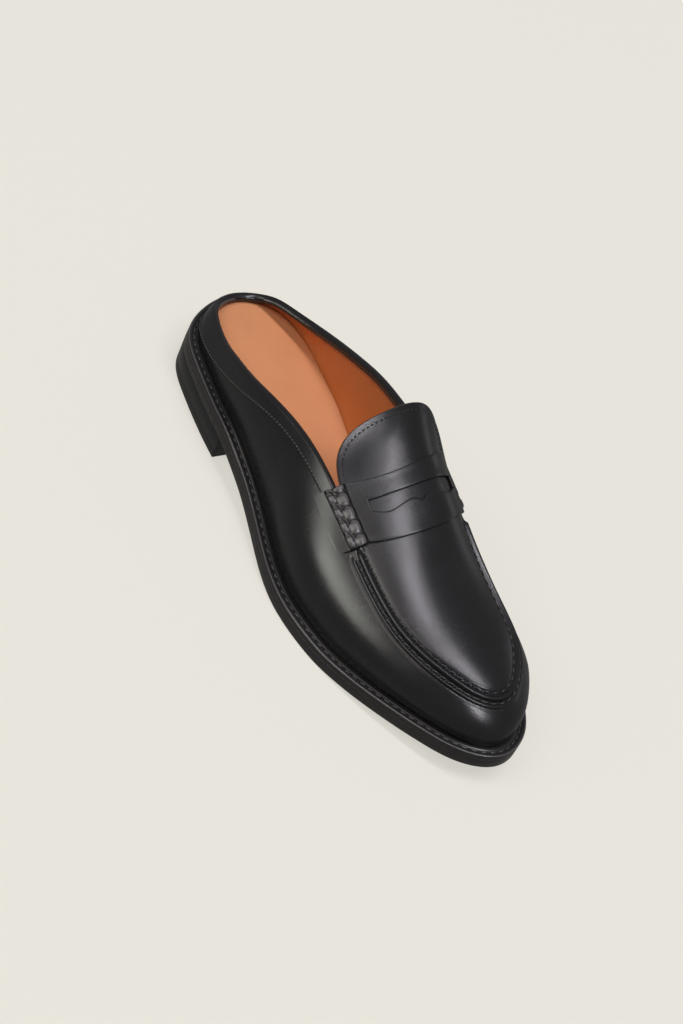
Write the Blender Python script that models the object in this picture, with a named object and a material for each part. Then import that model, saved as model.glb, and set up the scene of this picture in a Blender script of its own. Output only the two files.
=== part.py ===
"""Right shoe of a backless penny loafer: welted sole, low heel, raised apron seam and saddle strap.

+Y runs from heel to toe, +X to the outer (lateral) side and +Z up, with the floor at zero. Every
piece is worked out from the outline of the outsole, the line where the upper meets the welt and
the line of its top edge, which is the collar at the back and the apron seam in front.
"""
import math
from collections import namedtuple

import bmesh
import bpy
import numpy as np

MM = 0.001

# Overall sizes
LENGTH = 296 * MM
BALL_WIDTH = 102 * MM
HEEL_HEIGHT = 14.5 * MM
HEEL_LENGTH = 83 * MM
TOE_SPRING = 12 * MM
COLLAR_HEIGHT = 65 * MM
CROWN_RISE = 12 * MM

# Sole
OUTSOLE_THICKNESS = 5 * MM
WELT_THICKNESS = 3.2 * MM
WELT_WIDTH = 6 * MM
WELT_BLEND = 25 * MM
TOP_LIFT_THICKNESS = 5 * MM
HEEL_TAPER = 0.6 * MM
EDGE_ROUND = 0.8 * MM
INSOLE_STEP = 2.6 * MM

# Upper
WALL = 1.8 * MM
SEAM_CREST = 1.5 * MM
SEAM_SHOULDER = 1.2 * MM
SEAM_BAND = 0.9 * MM
SEAM_GROOVE = 0.4 * MM
SEAM_CREST_AT = 1.3 * MM
SEAM_SHOULDER_AT = 2.5 * MM
SEAM_BAND_AT = 5.0 * MM
SEAM_CREASE_AT = 6.4 * MM
SEAM_RUN_IN = 3 * MM
SEAM_SHARE_OF_WALL = 0.44
PLAIN_ROWS = 5
MITRE_LIMIT = 0.6

# Collar binding
BINDING_OUTER = 10.5 * MM
BINDING_INNER = 4.5 * MM
BINDING_LEATHER = 1.1 * MM
BINDING_CLEAR_OF_WELT = 1.5 * MM
FOLD_CORNER = 0.35
FOLD_RISE = 0.9

# Saddle strap, its rolls and the tongue
STRAP_BACK = 159 * MM
STRAP_WIDTH = 31 * MM
STRAP_LEATHER = 1.6 * MM
STRAP_BACK_BOW = 3.5 * MM
STRAP_FRONT_BOW = 2 * MM
STRAP_SKEW = 4 * MM
ROLL_REACH_IN = 4.5 * MM
ROLL_REACH_OUT = 9.5 * MM
ROLL_RAKE = 0.45
ROLL_HEIGHT = 4.2 * MM
ROLL_WIDTH = 9.5 * MM
ROLL_LOBES = 4
ROLL_GROOVE = 1.3 * MM
ROLL_GROOVE_SHARPNESS = 6
ROLL_ROUNDNESS = 0.6
ROLL_END = 0.06
ROLL_END_HEIGHT = 0.55
TAB_LEATHER = 1.6 * MM
TAB_ROUNDS_AT = 6 * MM
TAB_CORNER = 3 * MM
TAB_CORNER_SHARE = 0.15
SLOT_HALF_LENGTH = 23.5 * MM
SLOT_HEIGHT = 7.4 * MM
SLOT_AT = 0.48
SLOT_CUTTER_LOW = 0.7
SLOT_CUTTER_HIGH = 1.7
TONGUE_LENGTH = 27 * MM
TONGUE_HALF_WIDTH = 29 * MM
TONGUE_TIP_RISE = 16.5 * MM
TONGUE_LEATHER = 2.0 * MM
TONGUE_SQUARENESS = 4.0
TONGUE_SKEW = 2 * MM
TONGUE_CURL = 0.5

# Clearances
SEAT_GAP = 0.3 * MM
SOCK_CLEARANCE = 0.5 * MM
THROAT_UNDER_STRAP = 6 * MM
SMALLEST_HALF_WIDTH = 0.1 * MM

# How finely the curves are cut
STATIONS = 45
STATION_CLEARANCE = 0.012
PLUG_STEPS = 10
ROLL_STEPS = 24
STRAP_STEPS = 16
TONGUE_STEPS = 12
BINDING_ENDS_BEFORE_STRAP = 1.5 * MM

# Shares of LENGTH along, of BALL_WIDTH to each side
SoleRow = namedtuple("SoleRow", "along lateral medial")
OUTLINE = [
    SoleRow(0.018, 0.140, 0.210),
    SoleRow(0.065, 0.301, 0.323),
    SoleRow(0.140, 0.365, 0.350),
    SoleRow(0.250, 0.400, 0.322),
    SoleRow(0.360, 0.414, 0.290),
    SoleRow(0.460, 0.460, 0.298),
    SoleRow(0.560, 0.514, 0.360),
    SoleRow(0.650, 0.512, 0.446),
    SoleRow(0.750, 0.448, 0.482),
    SoleRow(0.840, 0.343, 0.434),
    SoleRow(0.920, 0.227, 0.346),
    SoleRow(0.975, 0.112, 0.222),
]
HEEL_END = -0.036
TOE_END = -0.048

# Height of the sole's underside: a share of HEEL_HEIGHT and one of TOE_SPRING
LiftRow = namedtuple("LiftRow", "along heel spring")
SOLE_LIFT = [
    LiftRow(0.00, 1.03, 0.00),
    LiftRow(0.12, 1.00, 0.00),
    LiftRow(0.26, 0.97, 0.00),
    LiftRow(0.36, 0.64, 0.00),
    LiftRow(0.46, 0.29, 0.00),
    LiftRow(0.55, 0.07, 0.00),
    LiftRow(0.61, 0.00, 0.00),
    LiftRow(0.70, 0.00, 0.00),
    LiftRow(0.78, 0.00, 0.16),
    LiftRow(0.86, 0.00, 0.42),
    LiftRow(0.93, 0.00, 0.70),
    LiftRow(1.00, 0.00, 1.00),
]

# How much welt shows: shares of WELT_WIDTH
WeltRow = namedtuple("WeltRow", "along lateral medial")
WELT_SHOWN = [
    WeltRow(0.00, 0.92, 0.92),
    WeltRow(0.20, 0.92, 0.85),
    WeltRow(0.40, 0.95, 0.72),
    WeltRow(0.60, 1.00, 0.92),
    WeltRow(1.00, 1.00, 1.00),
]

# The upper's top edge, collar then apron seam: shares of LENGTH, BALL_WIDTH and COLLAR_HEIGHT.
# The medial edge stands higher by lift, and the apron or tongue rises by crown of CROWN_RISE.
EdgeRow = namedtuple("EdgeRow", "along lateral medial height lift crown")
EDGE = [
    EdgeRow(0.034, 0.118, 0.142, 0.480, 0.000, 1.00),
    EdgeRow(0.057, 0.184, 0.182, 0.530, 0.005, 1.00),
    EdgeRow(0.101, 0.246, 0.222, 0.585, 0.010, 1.00),
    EdgeRow(0.152, 0.295, 0.262, 0.646, 0.012, 1.00),
    EdgeRow(0.203, 0.331, 0.279, 0.731, 0.012, 1.00),
    EdgeRow(0.260, 0.358, 0.288, 0.823, 0.014, 1.00),
    EdgeRow(0.330, 0.362, 0.288, 0.925, 0.016, 1.00),
    EdgeRow(0.405, 0.345, 0.280, 0.985, 0.022, 1.00),
    EdgeRow(0.480, 0.339, 0.284, 0.998, 0.030, 1.00),
    EdgeRow(0.557, 0.333, 0.288, 0.946, 0.036, 1.00),
    EdgeRow(0.659, 0.322, 0.280, 0.831, 0.028, 0.88),
    EdgeRow(0.760, 0.294, 0.287, 0.731, 0.015, 0.68),
    EdgeRow(0.811, 0.255, 0.283, 0.703, 0.015, 0.58),
    EdgeRow(0.851, 0.206, 0.261, 0.695, 0.005, 0.48),
    EdgeRow(0.892, 0.132, 0.206, 0.680, 0.000, 0.33),
    EdgeRow(0.919, 0.059, 0.147, 0.662, 0.000, 0.17),
]
HeelTip = namedtuple("Tip", "along side height")
EDGE_HEEL = HeelTip(0.0190, -0.014, 0.455)
EDGE_TOE = HeelTip(0.934, -0.049, 0.646)

# The side wall's section: how far it stands out from a straight line near its foot and its top
WallRow = namedtuple("WallRow", "along low high")
WALL_SHAPE = [
    WallRow(0.00, 0.12, 0.08),
    WallRow(0.10, 0.15, 0.12),
    WallRow(0.25, 0.07, 0.07),
    WallRow(0.40, 0.07, 0.09),
    WallRow(0.50, 0.13, 0.15),
    WallRow(0.60, 0.20, 0.23),
    WallRow(0.75, 0.24, 0.28),
    WallRow(0.90, 0.30, 0.25),
    WallRow(1.00, 0.34, 0.22),
]
WALL_HANDLE = 0.42
PLUG_ROUNDNESS = 2.6

# Front lip of the strap's slot, from one end to its middle: shares of SLOT_HALF_LENGTH and SLOT_HEIGHT
SlotRow = namedtuple("SlotRow", "across front")
SLOT = [
    SlotRow(-1.00, 0.22),
    SlotRow(-0.72, 0.50),
    SlotRow(-0.22, 0.20),
    SlotRow(-0.13, 0.26),
    SlotRow(0.00, 0.50),
]

Finish = namedtuple("Finish", "color roughness")
BLACK_CALF = Finish((0.012, 0.012, 0.013), 0.38)
BLACK_EDGE = Finish((0.010, 0.010, 0.011), 0.30)
BLACK_RUBBER = Finish((0.016, 0.016, 0.016), 0.70)
TAN_SOCK = Finish((0.56, 0.21, 0.10), 0.55)


def smooth(rows, column, where):
    """A monotone cubic through one column of a table, read at the given shares along."""
    x = np.array([row.along for row in rows])
    y = np.array([getattr(row, column) for row in rows])
    step = np.diff(x)
    secant = np.diff(y) / step
    slope = np.concatenate([[secant[0]], np.zeros(len(x) - 2), [secant[-1]]])
    for i in range(1, len(x) - 1):
        if secant[i - 1] * secant[i] > 0:
            w1 = 2 * step[i] + step[i - 1]
            w2 = step[i] + 2 * step[i - 1]
            slope[i] = (w1 + w2) / (w1 / secant[i - 1] + w2 / secant[i])
    where = np.clip(np.asarray(where, float), x[0], x[-1])
    i = np.clip(np.searchsorted(x, where, side="right") - 1, 0, len(x) - 2)
    t = (where - x[i]) / step[i]
    return (
        (2 * t**3 - 3 * t**2 + 1) * y[i]
        + (t**3 - 2 * t**2 + t) * step[i] * slope[i]
        + (3 * t**2 - 2 * t**3) * y[i + 1]
        + (t**3 - t**2) * step[i] * slope[i + 1]
    )


def closed_curve(points, count=2400):
    """A periodic cubic through the points, starting at the first."""
    p = np.asarray(points, float)
    n = len(p)
    nxt = np.roll(p, -1, axis=0)
    h = np.linalg.norm(nxt - p, axis=1) ** 0.75
    matrix = np.zeros((n, n))
    right = np.zeros_like(p)
    for i in range(n):
        a, b = h[i - 1], h[i]
        matrix[i, (i - 1) % n] += b
        matrix[i, i] += 2 * (a + b)
        matrix[i, (i + 1) % n] += a
        right[i] = 3 * (b * (p[i] - p[i - 1]) / a + a * (nxt[i] - p[i]) / b)
    slope = np.linalg.solve(matrix, right)
    knots = np.concatenate([[0], np.cumsum(h)])
    s = np.linspace(0, knots[-1], count, endpoint=False)
    i = np.clip(np.searchsorted(knots, s, side="right") - 1, 0, n - 1)
    t = ((s - knots[i]) / h[i])[:, None]
    j = (i + 1) % n
    span = h[i][:, None]
    return (
        (2 * t**3 - 3 * t**2 + 1) * p[i]
        + (t**3 - 2 * t**2 + t) * span * slope[i]
        + (3 * t**2 - 2 * t**3) * p[j]
        + (t**3 - t**2) * span * slope[j]
    )


def outward(curve):
    """Horizontal normals of a closed curve that runs heel, lateral side, toe, medial side."""
    along = np.roll(curve, -1, axis=0) - np.roll(curve, 1, axis=0)
    normal = np.stack([along[:, 1], -along[:, 0]], axis=1)
    return normal / np.linalg.norm(normal, axis=1)[:, None]


def inset(curve, distance):
    """The plan curve moved inward by a distance, or by one distance for each point."""
    return curve - outward(curve) * np.broadcast_to(distance, (len(curve),))[:, None]


def branches(curve):
    """Splits a closed curve at its hindmost and foremost points into lateral and medial halves."""
    heel = int(np.argmin(curve[:, 1]))
    curve = np.roll(curve, -heel, axis=0)
    toe = int(np.argmax(curve[:, 1]))
    lateral = curve[: toe + 1]
    medial = np.vstack([curve[toe:], curve[:1]])[::-1]
    return lateral, medial


def read_branch(branch, y):
    """Points of one half at the given places along the shoe."""
    return np.stack([np.interp(y, branch[:, 1], branch[:, c]) for c in range(branch.shape[1])], axis=-1)


def end_to_end(count=STATIONS):
    """Shares from heel to toe, closer together at both ends."""
    return (1 - np.cos(np.linspace(0, math.pi, count))) / 2


def around(shares):
    """Places round the shoe: heel 0, up the lateral side, toe 1, back down the medial side to 2."""
    return np.concatenate([shares, 2 - shares[1:-1][::-1]])


def read_round(curve, places):
    """Points of a closed curve at places round the shoe."""
    lateral, medial = branches(curve)
    places = np.mod(places, 2)
    share = np.where(places > 1, 2 - places, places)
    y = lateral[0, 1] + (lateral[-1, 1] - lateral[0, 1]) * share
    return np.where((places > 1)[:, None], read_branch(medial, y), read_branch(lateral, y))


def ring(curve, shares):
    """A closed curve read at stations: heel point, lateral side, toe point, medial side back."""
    return read_round(curve, around(shares))


def sole_points():
    """The outsole's outline as a closed plan curve."""
    lateral = [(r.lateral * BALL_WIDTH, r.along * LENGTH) for r in OUTLINE]
    medial = [(-r.medial * BALL_WIDTH, r.along * LENGTH) for r in OUTLINE[::-1]]
    return [(HEEL_END * BALL_WIDTH, 0.0)] + lateral + [(TOE_END * BALL_WIDTH, LENGTH)] + medial


def edge_points():
    """The upper's top edge as points in space, in the order of the outline."""
    lateral = [(r.lateral * BALL_WIDTH, r.along * LENGTH, r.height * COLLAR_HEIGHT) for r in EDGE]
    medial = [
        (-r.medial * BALL_WIDTH, r.along * LENGTH, (r.height + r.lift) * COLLAR_HEIGHT)
        for r in EDGE[::-1]
    ]
    heel = (EDGE_HEEL.side * BALL_WIDTH, EDGE_HEEL.along * LENGTH, EDGE_HEEL.height * COLLAR_HEIGHT)
    toe = (EDGE_TOE.side * BALL_WIDTH, EDGE_TOE.along * LENGTH, EDGE_TOE.height * COLLAR_HEIGHT)
    return [heel] + lateral + [toe] + medial


def sole_bottom(y):
    """Height of the outsole's underside at a place along the shoe."""
    share = np.asarray(y) / LENGTH
    return smooth(SOLE_LIFT, "heel", share) * HEEL_HEIGHT + smooth(SOLE_LIFT, "spring", share) * TOE_SPRING


OUTSOLE_TOP = OUTSOLE_THICKNESS
WELT_BOTTOM = OUTSOLE_TOP + SEAT_GAP
WELT_TOP = WELT_BOTTOM + WELT_THICKNESS
UPPER_BOTTOM = WELT_TOP + SEAT_GAP

SOLE_CURVE = closed_curve(sole_points())
EDGE_CURVE = closed_curve(edge_points())


def welt_shown(curve):
    """Width of welt outside the upper at each point of the outline."""
    share = curve[:, 1] / LENGTH
    lateral = smooth(WELT_SHOWN, "lateral", share)
    medial = smooth(WELT_SHOWN, "medial", share)
    centre = np.interp(share, [0, 1], [HEEL_END * BALL_WIDTH, TOE_END * BALL_WIDTH])
    side = np.clip(0.5 + (curve[:, 0] - centre) / WELT_BLEND, 0, 1)
    return WELT_WIDTH * (medial + (lateral - medial) * side)


FEATHER_CURVE = inset(SOLE_CURVE, welt_shown(SOLE_CURVE))
FEATHER_WITH_NORMALS = np.column_stack([FEATHER_CURVE, outward(FEATHER_CURVE)])


def on_sole(plan, height):
    """A plan ring lifted to a height above the sole's underside."""
    return np.column_stack([plan[:, :2], sole_bottom(plan[:, 1]) + height])


def wall_sections(places, samples=49):
    """The side wall's outer face: at each place round the shoe, points from top edge to welt."""
    edge = read_round(EDGE_CURVE, places)
    plan = read_round(FEATHER_WITH_NORMALS, places)
    foot = on_sole(plan, UPPER_BOTTOM)
    out = np.column_stack([plan[:, 2:4], np.zeros(len(plan))])
    share = edge[:, 1] / LENGTH
    tall = edge[:, 2] - foot[:, 2]
    chord = edge - foot
    low = foot + WALL_HANDLE * chord + out * (tall * smooth(WALL_SHAPE, "low", share))[:, None]
    high = edge - WALL_HANDLE * chord + out * (tall * smooth(WALL_SHAPE, "high", share))[:, None]
    t = np.linspace(0, 1, samples)[:, None, None]
    return (1 - t) ** 3 * edge + 3 * (1 - t) ** 2 * t * high + 3 * (1 - t) * t**2 * low + t**3 * foot


def wall(places):
    """Wall sections with the distance down from the top edge and the outward normal of each point."""
    sections = wall_sections(places)
    steps = np.linalg.norm(np.diff(sections, axis=0), axis=2)
    lengths = np.vstack([np.zeros(sections.shape[1]), np.cumsum(steps, axis=0)])
    nearby = 0.002
    onward = wall_sections(places + nearby) - wall_sections(places - nearby)
    normal = np.cross(np.gradient(sections, axis=0), onward)
    return sections, lengths, normal / np.linalg.norm(normal, axis=2)[:, :, None]


def read_down(sections, lengths, normals, distances):
    """Points and normals at a distance down each section; distances has one row per reading."""
    points = np.empty(distances.shape + (3,))
    out = np.empty_like(points)
    for column in range(distances.shape[1]):
        for c in range(3):
            points[:, column, c] = np.interp(distances[:, column], lengths[:, column], sections[:, column, c])
            out[:, column, c] = np.interp(distances[:, column], lengths[:, column], normals[:, column, c])
    return points, out / np.linalg.norm(out, axis=2)[:, :, None]


EDGE_LATERAL, EDGE_MEDIAL = branches(EDGE_CURVE)


def edge_shares(places):
    """Station shares that put the top edge at places along the shoe."""
    first, last = EDGE_LATERAL[0, 1], EDGE_LATERAL[-1, 1]
    return (np.asarray(places) - first) / (last - first)


def strap_back(side):
    """Back edge of the strap at its end on one side, 1 lateral and -1 medial."""
    return STRAP_BACK - STRAP_SKEW * (1 - side) / 2


def strap_front(side):
    """Front edge of the strap at its end on one side."""
    return strap_back(side) + STRAP_WIDTH


THROAT_Y = STRAP_BACK + THROAT_UNDER_STRAP
STOPS = edge_shares([THROAT_Y, strap_front(-1) + SEAT_GAP, strap_front(1) + SEAT_GAP])
EVEN_SHARES = end_to_end(STATIONS - len(STOPS))
CLEAR_OF_STOPS = abs(EVEN_SHARES[:, None] - STOPS).min(axis=1) > STATION_CLEARANCE
SHARES = np.sort(np.append(EVEN_SHARES[CLEAR_OF_STOPS], STOPS))
THROAT = int(np.searchsorted(SHARES, STOPS[0] - STATION_CLEARANCE / 2))
CROWN_ENDS = [EdgeRow(EDGE_HEEL.along, 0, 0, 0, 0, 1.0)] + EDGE + [EdgeRow(EDGE_TOE.along, 0, 0, 0, 0, 0.0)]


def instep(x, y):
    """Height of the apron, and of the tongue that runs on behind it, over a place in plan."""
    x, y = np.broadcast_arrays(np.asarray(x, float), np.asarray(y, float))
    on_apron = np.maximum(y, THROAT_Y)
    lateral = read_branch(EDGE_LATERAL, on_apron)
    medial = read_branch(EDGE_MEDIAL, on_apron)
    centre = (lateral[..., 0] + medial[..., 0]) / 2
    half = np.maximum((lateral[..., 0] - medial[..., 0]) / 2, SMALLEST_HALF_WIDTH)
    crown = smooth(CROWN_ENDS, "crown", on_apron / LENGTH) * CROWN_RISE
    aside = (x - centre) / half
    edge = (lateral[..., 2] * (1 + aside) + medial[..., 2] * (1 - aside)) / 2
    behind = np.maximum(THROAT_Y - y, 0) / TONGUE_LENGTH
    slope = (1 - TONGUE_CURL) * behind + TONGUE_CURL * behind**2
    return edge + crown * (1 - np.abs(aside) ** PLUG_ROUNDNESS) + TONGUE_TIP_RISE * slope


def instep_normal(x, y):
    """Outward normal of the apron."""
    step = 0.2 * MM
    dx = (instep(x + step, y) - instep(x - step, y)) / (2 * step)
    dy = (instep(x, y + step) - instep(x, y - step)) / (2 * step)
    normal = np.stack([-dx, -dy, np.ones_like(dx)], axis=-1)
    return normal / np.linalg.norm(normal, axis=-1)[..., None]


CENTRE = np.array([
    (SOLE_CURVE[:, 0].max() + SOLE_CURVE[:, 0].min()) / 2,
    (SOLE_CURVE[:, 1].max() + SOLE_CURVE[:, 1].min()) / 2,
    0.0,
])


def material(name, finish):
    """A plain surface with one colour and roughness."""
    result = bpy.data.materials.new(name)
    result.use_nodes = True
    shader = result.node_tree.nodes["Principled BSDF"]
    shader.inputs["Base Color"].default_value = (*finish.color, 1)
    shader.inputs["Roughness"].default_value = finish.roughness
    shader.inputs["Metallic"].default_value = 0
    return result


def add_body(name, points, faces, finish):
    """One closed solid, its faces turned outward and its round faces smooth."""
    work = bmesh.new()
    vertices = [work.verts.new(point - CENTRE) for point in points]
    for face in faces:
        corners = [vertices[i] for i in dict.fromkeys(face)]
        if len(corners) > 2:
            work.faces.new(corners)
    bmesh.ops.remove_doubles(work, verts=work.verts, dist=0.001 * MM)
    bmesh.ops.recalc_face_normals(work, faces=work.faces)
    mesh = bpy.data.meshes.new(name)
    work.to_mesh(mesh)
    work.free()
    mesh.shade_smooth()
    mesh.set_sharp_from_angle(angle=math.radians(35))
    body = bpy.data.objects.new(name, mesh)
    mesh.materials.append(material(name, finish))
    bpy.context.scene.collection.objects.link(body)
    return body


def band(first, second, count, closed=True):
    """Quads between two rows of vertex numbers that start at first and second."""
    last = count if closed else count - 1
    return [(first + i, first + (i + 1) % count, second + (i + 1) % count, second + i) for i in range(last)]


def ladder(start, count):
    """Rungs across a ring from its lateral to its medial side."""
    half = count // 2
    faces = [(start, start + 1, start + count - 1)]
    for i in range(1, half - 1):
        faces.append((start + i, start + i + 1, start + count - i - 1, start + count - i))
    faces.append((start + half - 1, start + half, start + half + 1))
    return faces


def plate(name, rings, finish):
    """A solid through rings of one count, closed top and bottom."""
    count = len(rings[0])
    faces = ladder(0, count) + ladder((len(rings) - 1) * count, count)
    for i in range(len(rings) - 1):
        faces += band(i * count, (i + 1) * count, count)
    return add_body(name, np.vstack(rings), faces, finish)


def tube_of_rings(name, rings, finish):
    """A ring-shaped solid: each ring runs round the shoe, and the last meets the first."""
    count = len(rings[0])
    faces = []
    for i in range(len(rings)):
        faces += band(i * count, (i + 1) % len(rings) * count, count)
    return add_body(name, np.vstack(rings), faces, finish)


def swept(name, sections, finish):
    """A bar through sections of one closed outline, with filled ends."""
    count = sections.shape[1]
    faces = [tuple(range(count)), tuple(range((len(sections) - 1) * count, len(sections) * count))]
    for i in range(len(sections) - 1):
        faces += band(i * count, (i + 1) * count, count)
    return add_body(name, sections.reshape(-1, 3), faces, finish)


def sheet(name, top, bottom, finish):
    """A curved leather sheet from two grids of the same size."""
    rows, columns = top.shape[:2]
    size = rows * columns
    faces = []
    for offset in (0, size):
        for r in range(rows - 1):
            row = offset + r * columns
            faces += band(row, row + columns, columns, closed=False)
    border = [c for c in range(columns)]
    border += [r * columns + columns - 1 for r in range(1, rows)]
    border += [(rows - 1) * columns + c for c in range(columns - 2, -1, -1)]
    border += [r * columns for r in range(rows - 2, 0, -1)]
    for here, there in zip(border, border[1:] + border[:1]):
        faces.append((here, there, there + size, here + size))
    return add_body(name, np.vstack([top.reshape(-1, 3), bottom.reshape(-1, 3)]), faces, finish)


def heel_ring(distance, count=22):
    """The heel's plan: the outline moved in, cut off straight at the breast."""
    lateral, medial = branches(inset(SOLE_CURVE, distance))
    share = 1 - np.cos(np.linspace(0, math.pi / 2, count))
    y = lateral[0, 1] + (HEEL_LENGTH - lateral[0, 1]) * share
    return np.vstack([read_branch(lateral, y), read_branch(medial, y[1:])[::-1]])


def heel_plate(name, rings, finish):
    """A heel layer: its rings have two breast corners instead of a toe point."""
    count = len(rings[0])
    half = (count + 1) // 2
    faces = []
    for start in (0, (len(rings) - 1) * count):
        faces.append((start, start + 1, start + count - 1))
        for i in range(1, half - 1):
            faces.append((start + i, start + i + 1, start + count - i - 1, start + count - i))
    for i in range(len(rings) - 1):
        faces += band(i * count, (i + 1) * count, count)
    return add_body(name, np.vstack(rings), faces, finish)


def make_heel():
    """Rubber top lift on the floor, and the stacked block between it and the outsole."""
    def level(height, drop=0.0):
        plan = heel_ring(HEEL_TAPER * (1 - height / HEEL_HEIGHT) + drop)
        return np.column_stack([plan[:, :2], np.full(len(plan), height)])

    lift = [level(0.0, EDGE_ROUND / 2), level(EDGE_ROUND), level(TOP_LIFT_THICKNESS)]
    heel_plate("heel_top_lift", lift, BLACK_RUBBER)
    seat = heel_ring(0.0)
    seat = np.column_stack([seat[:, :2], sole_bottom(seat[:, 1]) - SEAT_GAP])
    heel_plate("heel_block", [level(TOP_LIFT_THICKNESS + SEAT_GAP), seat], BLACK_EDGE)


def make_outsole():
    """Leather outsole with its edge slightly rounded."""
    def layer(distance, height):
        return on_sole(ring(inset(SOLE_CURVE, distance), SHARES), height)

    rings = [
        layer(EDGE_ROUND, 0.0),
        layer(0.0, EDGE_ROUND),
        layer(0.0, OUTSOLE_TOP - EDGE_ROUND / 2),
        layer(EDGE_ROUND / 2, OUTSOLE_TOP),
    ]
    plate("outsole", rings, BLACK_EDGE)


def make_welt():
    """A strip all round between outsole and upper, open in the middle."""
    inner = inset(FEATHER_CURVE, WALL)
    rows = [
        (inner, WELT_BOTTOM),
        (inset(SOLE_CURVE, EDGE_ROUND / 2), WELT_BOTTOM),
        (SOLE_CURVE, WELT_BOTTOM + EDGE_ROUND / 2),
        (SOLE_CURVE, WELT_TOP - EDGE_ROUND),
        (inset(SOLE_CURVE, EDGE_ROUND), WELT_TOP),
        (inner, WELT_TOP),
    ]
    tube_of_rings("welt", [on_sole(ring(curve, SHARES), height) for curve, height in rows], BLACK_EDGE)


def inside_wall(above_welt):
    """Plan ring just clear of the upper's lining, at a height above the welt."""
    sections, lengths, normals = wall(around(SHARES))
    face, out = read_down(sections, lengths, normals, (lengths[-1] - above_welt)[None, :])
    return face[0] - out[0] * (WALL + SOCK_CLEARANCE)


def make_insole():
    """Insole board with its sock, filling the space inside welt and upper."""
    low = ring(inset(FEATHER_CURVE, WALL + SOCK_CLEARANCE), SHARES)
    rings = [
        on_sole(low, OUTSOLE_TOP + SEAT_GAP),
        on_sole(low, UPPER_BOTTOM),
        on_sole(inside_wall(INSOLE_STEP / 2), UPPER_BOTTOM + INSOLE_STEP / 2),
        on_sole(inside_wall(INSOLE_STEP), UPPER_BOTTOM + INSOLE_STEP),
    ]
    plate("insole", rings, TAN_SOCK)


def top_rows(lengths):
    """Distances down the wall of the seam's rows and the plain rows under them."""
    total = lengths[-1]
    at = [0.0, SEAM_CREST_AT, SEAM_SHOULDER_AT, SEAM_BAND_AT, SEAM_CREASE_AT]
    share = SEAM_SHARE_OF_WALL / (len(at) - 1)
    rows = [np.minimum(place, total * share * i) for i, place in enumerate(at)]
    rest = np.linspace(0, 1, PLAIN_ROWS + 1)[1:]
    return np.array(rows + [rows[-1] + (total - rows[-1]) * share for share in rest])


def make_upper():
    """Hollow side wall and apron in one shell, with the sewn ridge raised along their seam."""
    sections, lengths, normals = wall(around(SHARES))
    face, out = read_down(sections, lengths, normals, top_rows(lengths))
    rows, count = face.shape[:2]
    apron = list(range(THROAT, len(SHARES)))
    medial_of = {k: (count - k) % count for k in apron}

    front = np.where(np.arange(count) < len(SHARES), strap_front(1), strap_front(-1))
    in_front = np.clip((face[0, :, 1] - front - SEAT_GAP) / SEAM_RUN_IN, 0, 1)
    relief = [-SEAM_GROOVE, SEAM_CREST, SEAM_SHOULDER, SEAM_BAND, -SEAM_GROOVE] + [0.0] * PLAIN_ROWS
    outer = face + out * (np.array(relief)[:, None] * in_front)[:, :, None]

    inner = face - out * WALL
    foot = ring(inset(FEATHER_CURVE, WALL), SHARES)
    inner[-1] = on_sole(foot, UPPER_BOTTOM)
    for k in apron:
        for r in {k, medial_of[k]}:
            top = instep_normal(face[0, r, 0], face[0, r, 1])
            if k == len(SHARES) - 1:
                top = instep_normal(face[0, r, 0], face[0, r, 1] - 2 * MM)
            both = top + out[0, r]
            both /= np.linalg.norm(both)
            inner[0, r] = face[0, r] - both * WALL / max(float(both @ top), MITRE_LIMIT)

    points = list(outer.reshape(-1, 3)) + list(inner.reshape(-1, 3))
    size = rows * count
    faces = []
    for offset in (0, size):
        for v in range(rows - 1):
            faces += band(offset + v * count, offset + (v + 1) * count, count)
    base = (rows - 1) * count
    faces += band(base, size + base, count)
    behind = [r % count for r in range(medial_of[THROAT], count + THROAT + 1)]
    for here, there in zip(behind, behind[1:]):
        faces.append((here, there, there + size, here + size))

    rungs = {}
    for k in apron[:-1]:
        a, b = face[0, k], face[0, medial_of[k]]
        share = np.linspace(0, 1, PLUG_STEPS + 1)[1:-1]
        x = a[0] + (b[0] - a[0]) * share
        y = np.full_like(x, a[1])
        top = np.column_stack([x, y, instep(x, y)])
        normal = instep_normal(x, y)
        for layer, grid in ((0, top), (1, top - normal * WALL)):
            first = len(points)
            points += list(grid)
            middle = list(range(first, first + len(grid)))
            side = layer * size
            rungs[layer, k] = [side + k] + middle + [side + medial_of[k]]
    tip = apron[-1]
    for layer in (0, 1):
        rungs[layer, tip] = [layer * size + tip] * (PLUG_STEPS + 1)
        for k in apron[:-1]:
            here, there = rungs[layer, k], rungs[layer, k + 1]
            for m in range(PLUG_STEPS):
                faces.append((here[m], here[m + 1], there[m + 1], there[m]))
    first, second = rungs[0, THROAT], rungs[1, THROAT]
    for m in range(PLUG_STEPS):
        faces.append((first[m], first[m + 1], second[m + 1], second[m]))
    add_body("upper", points, faces, BLACK_CALF)


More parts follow.
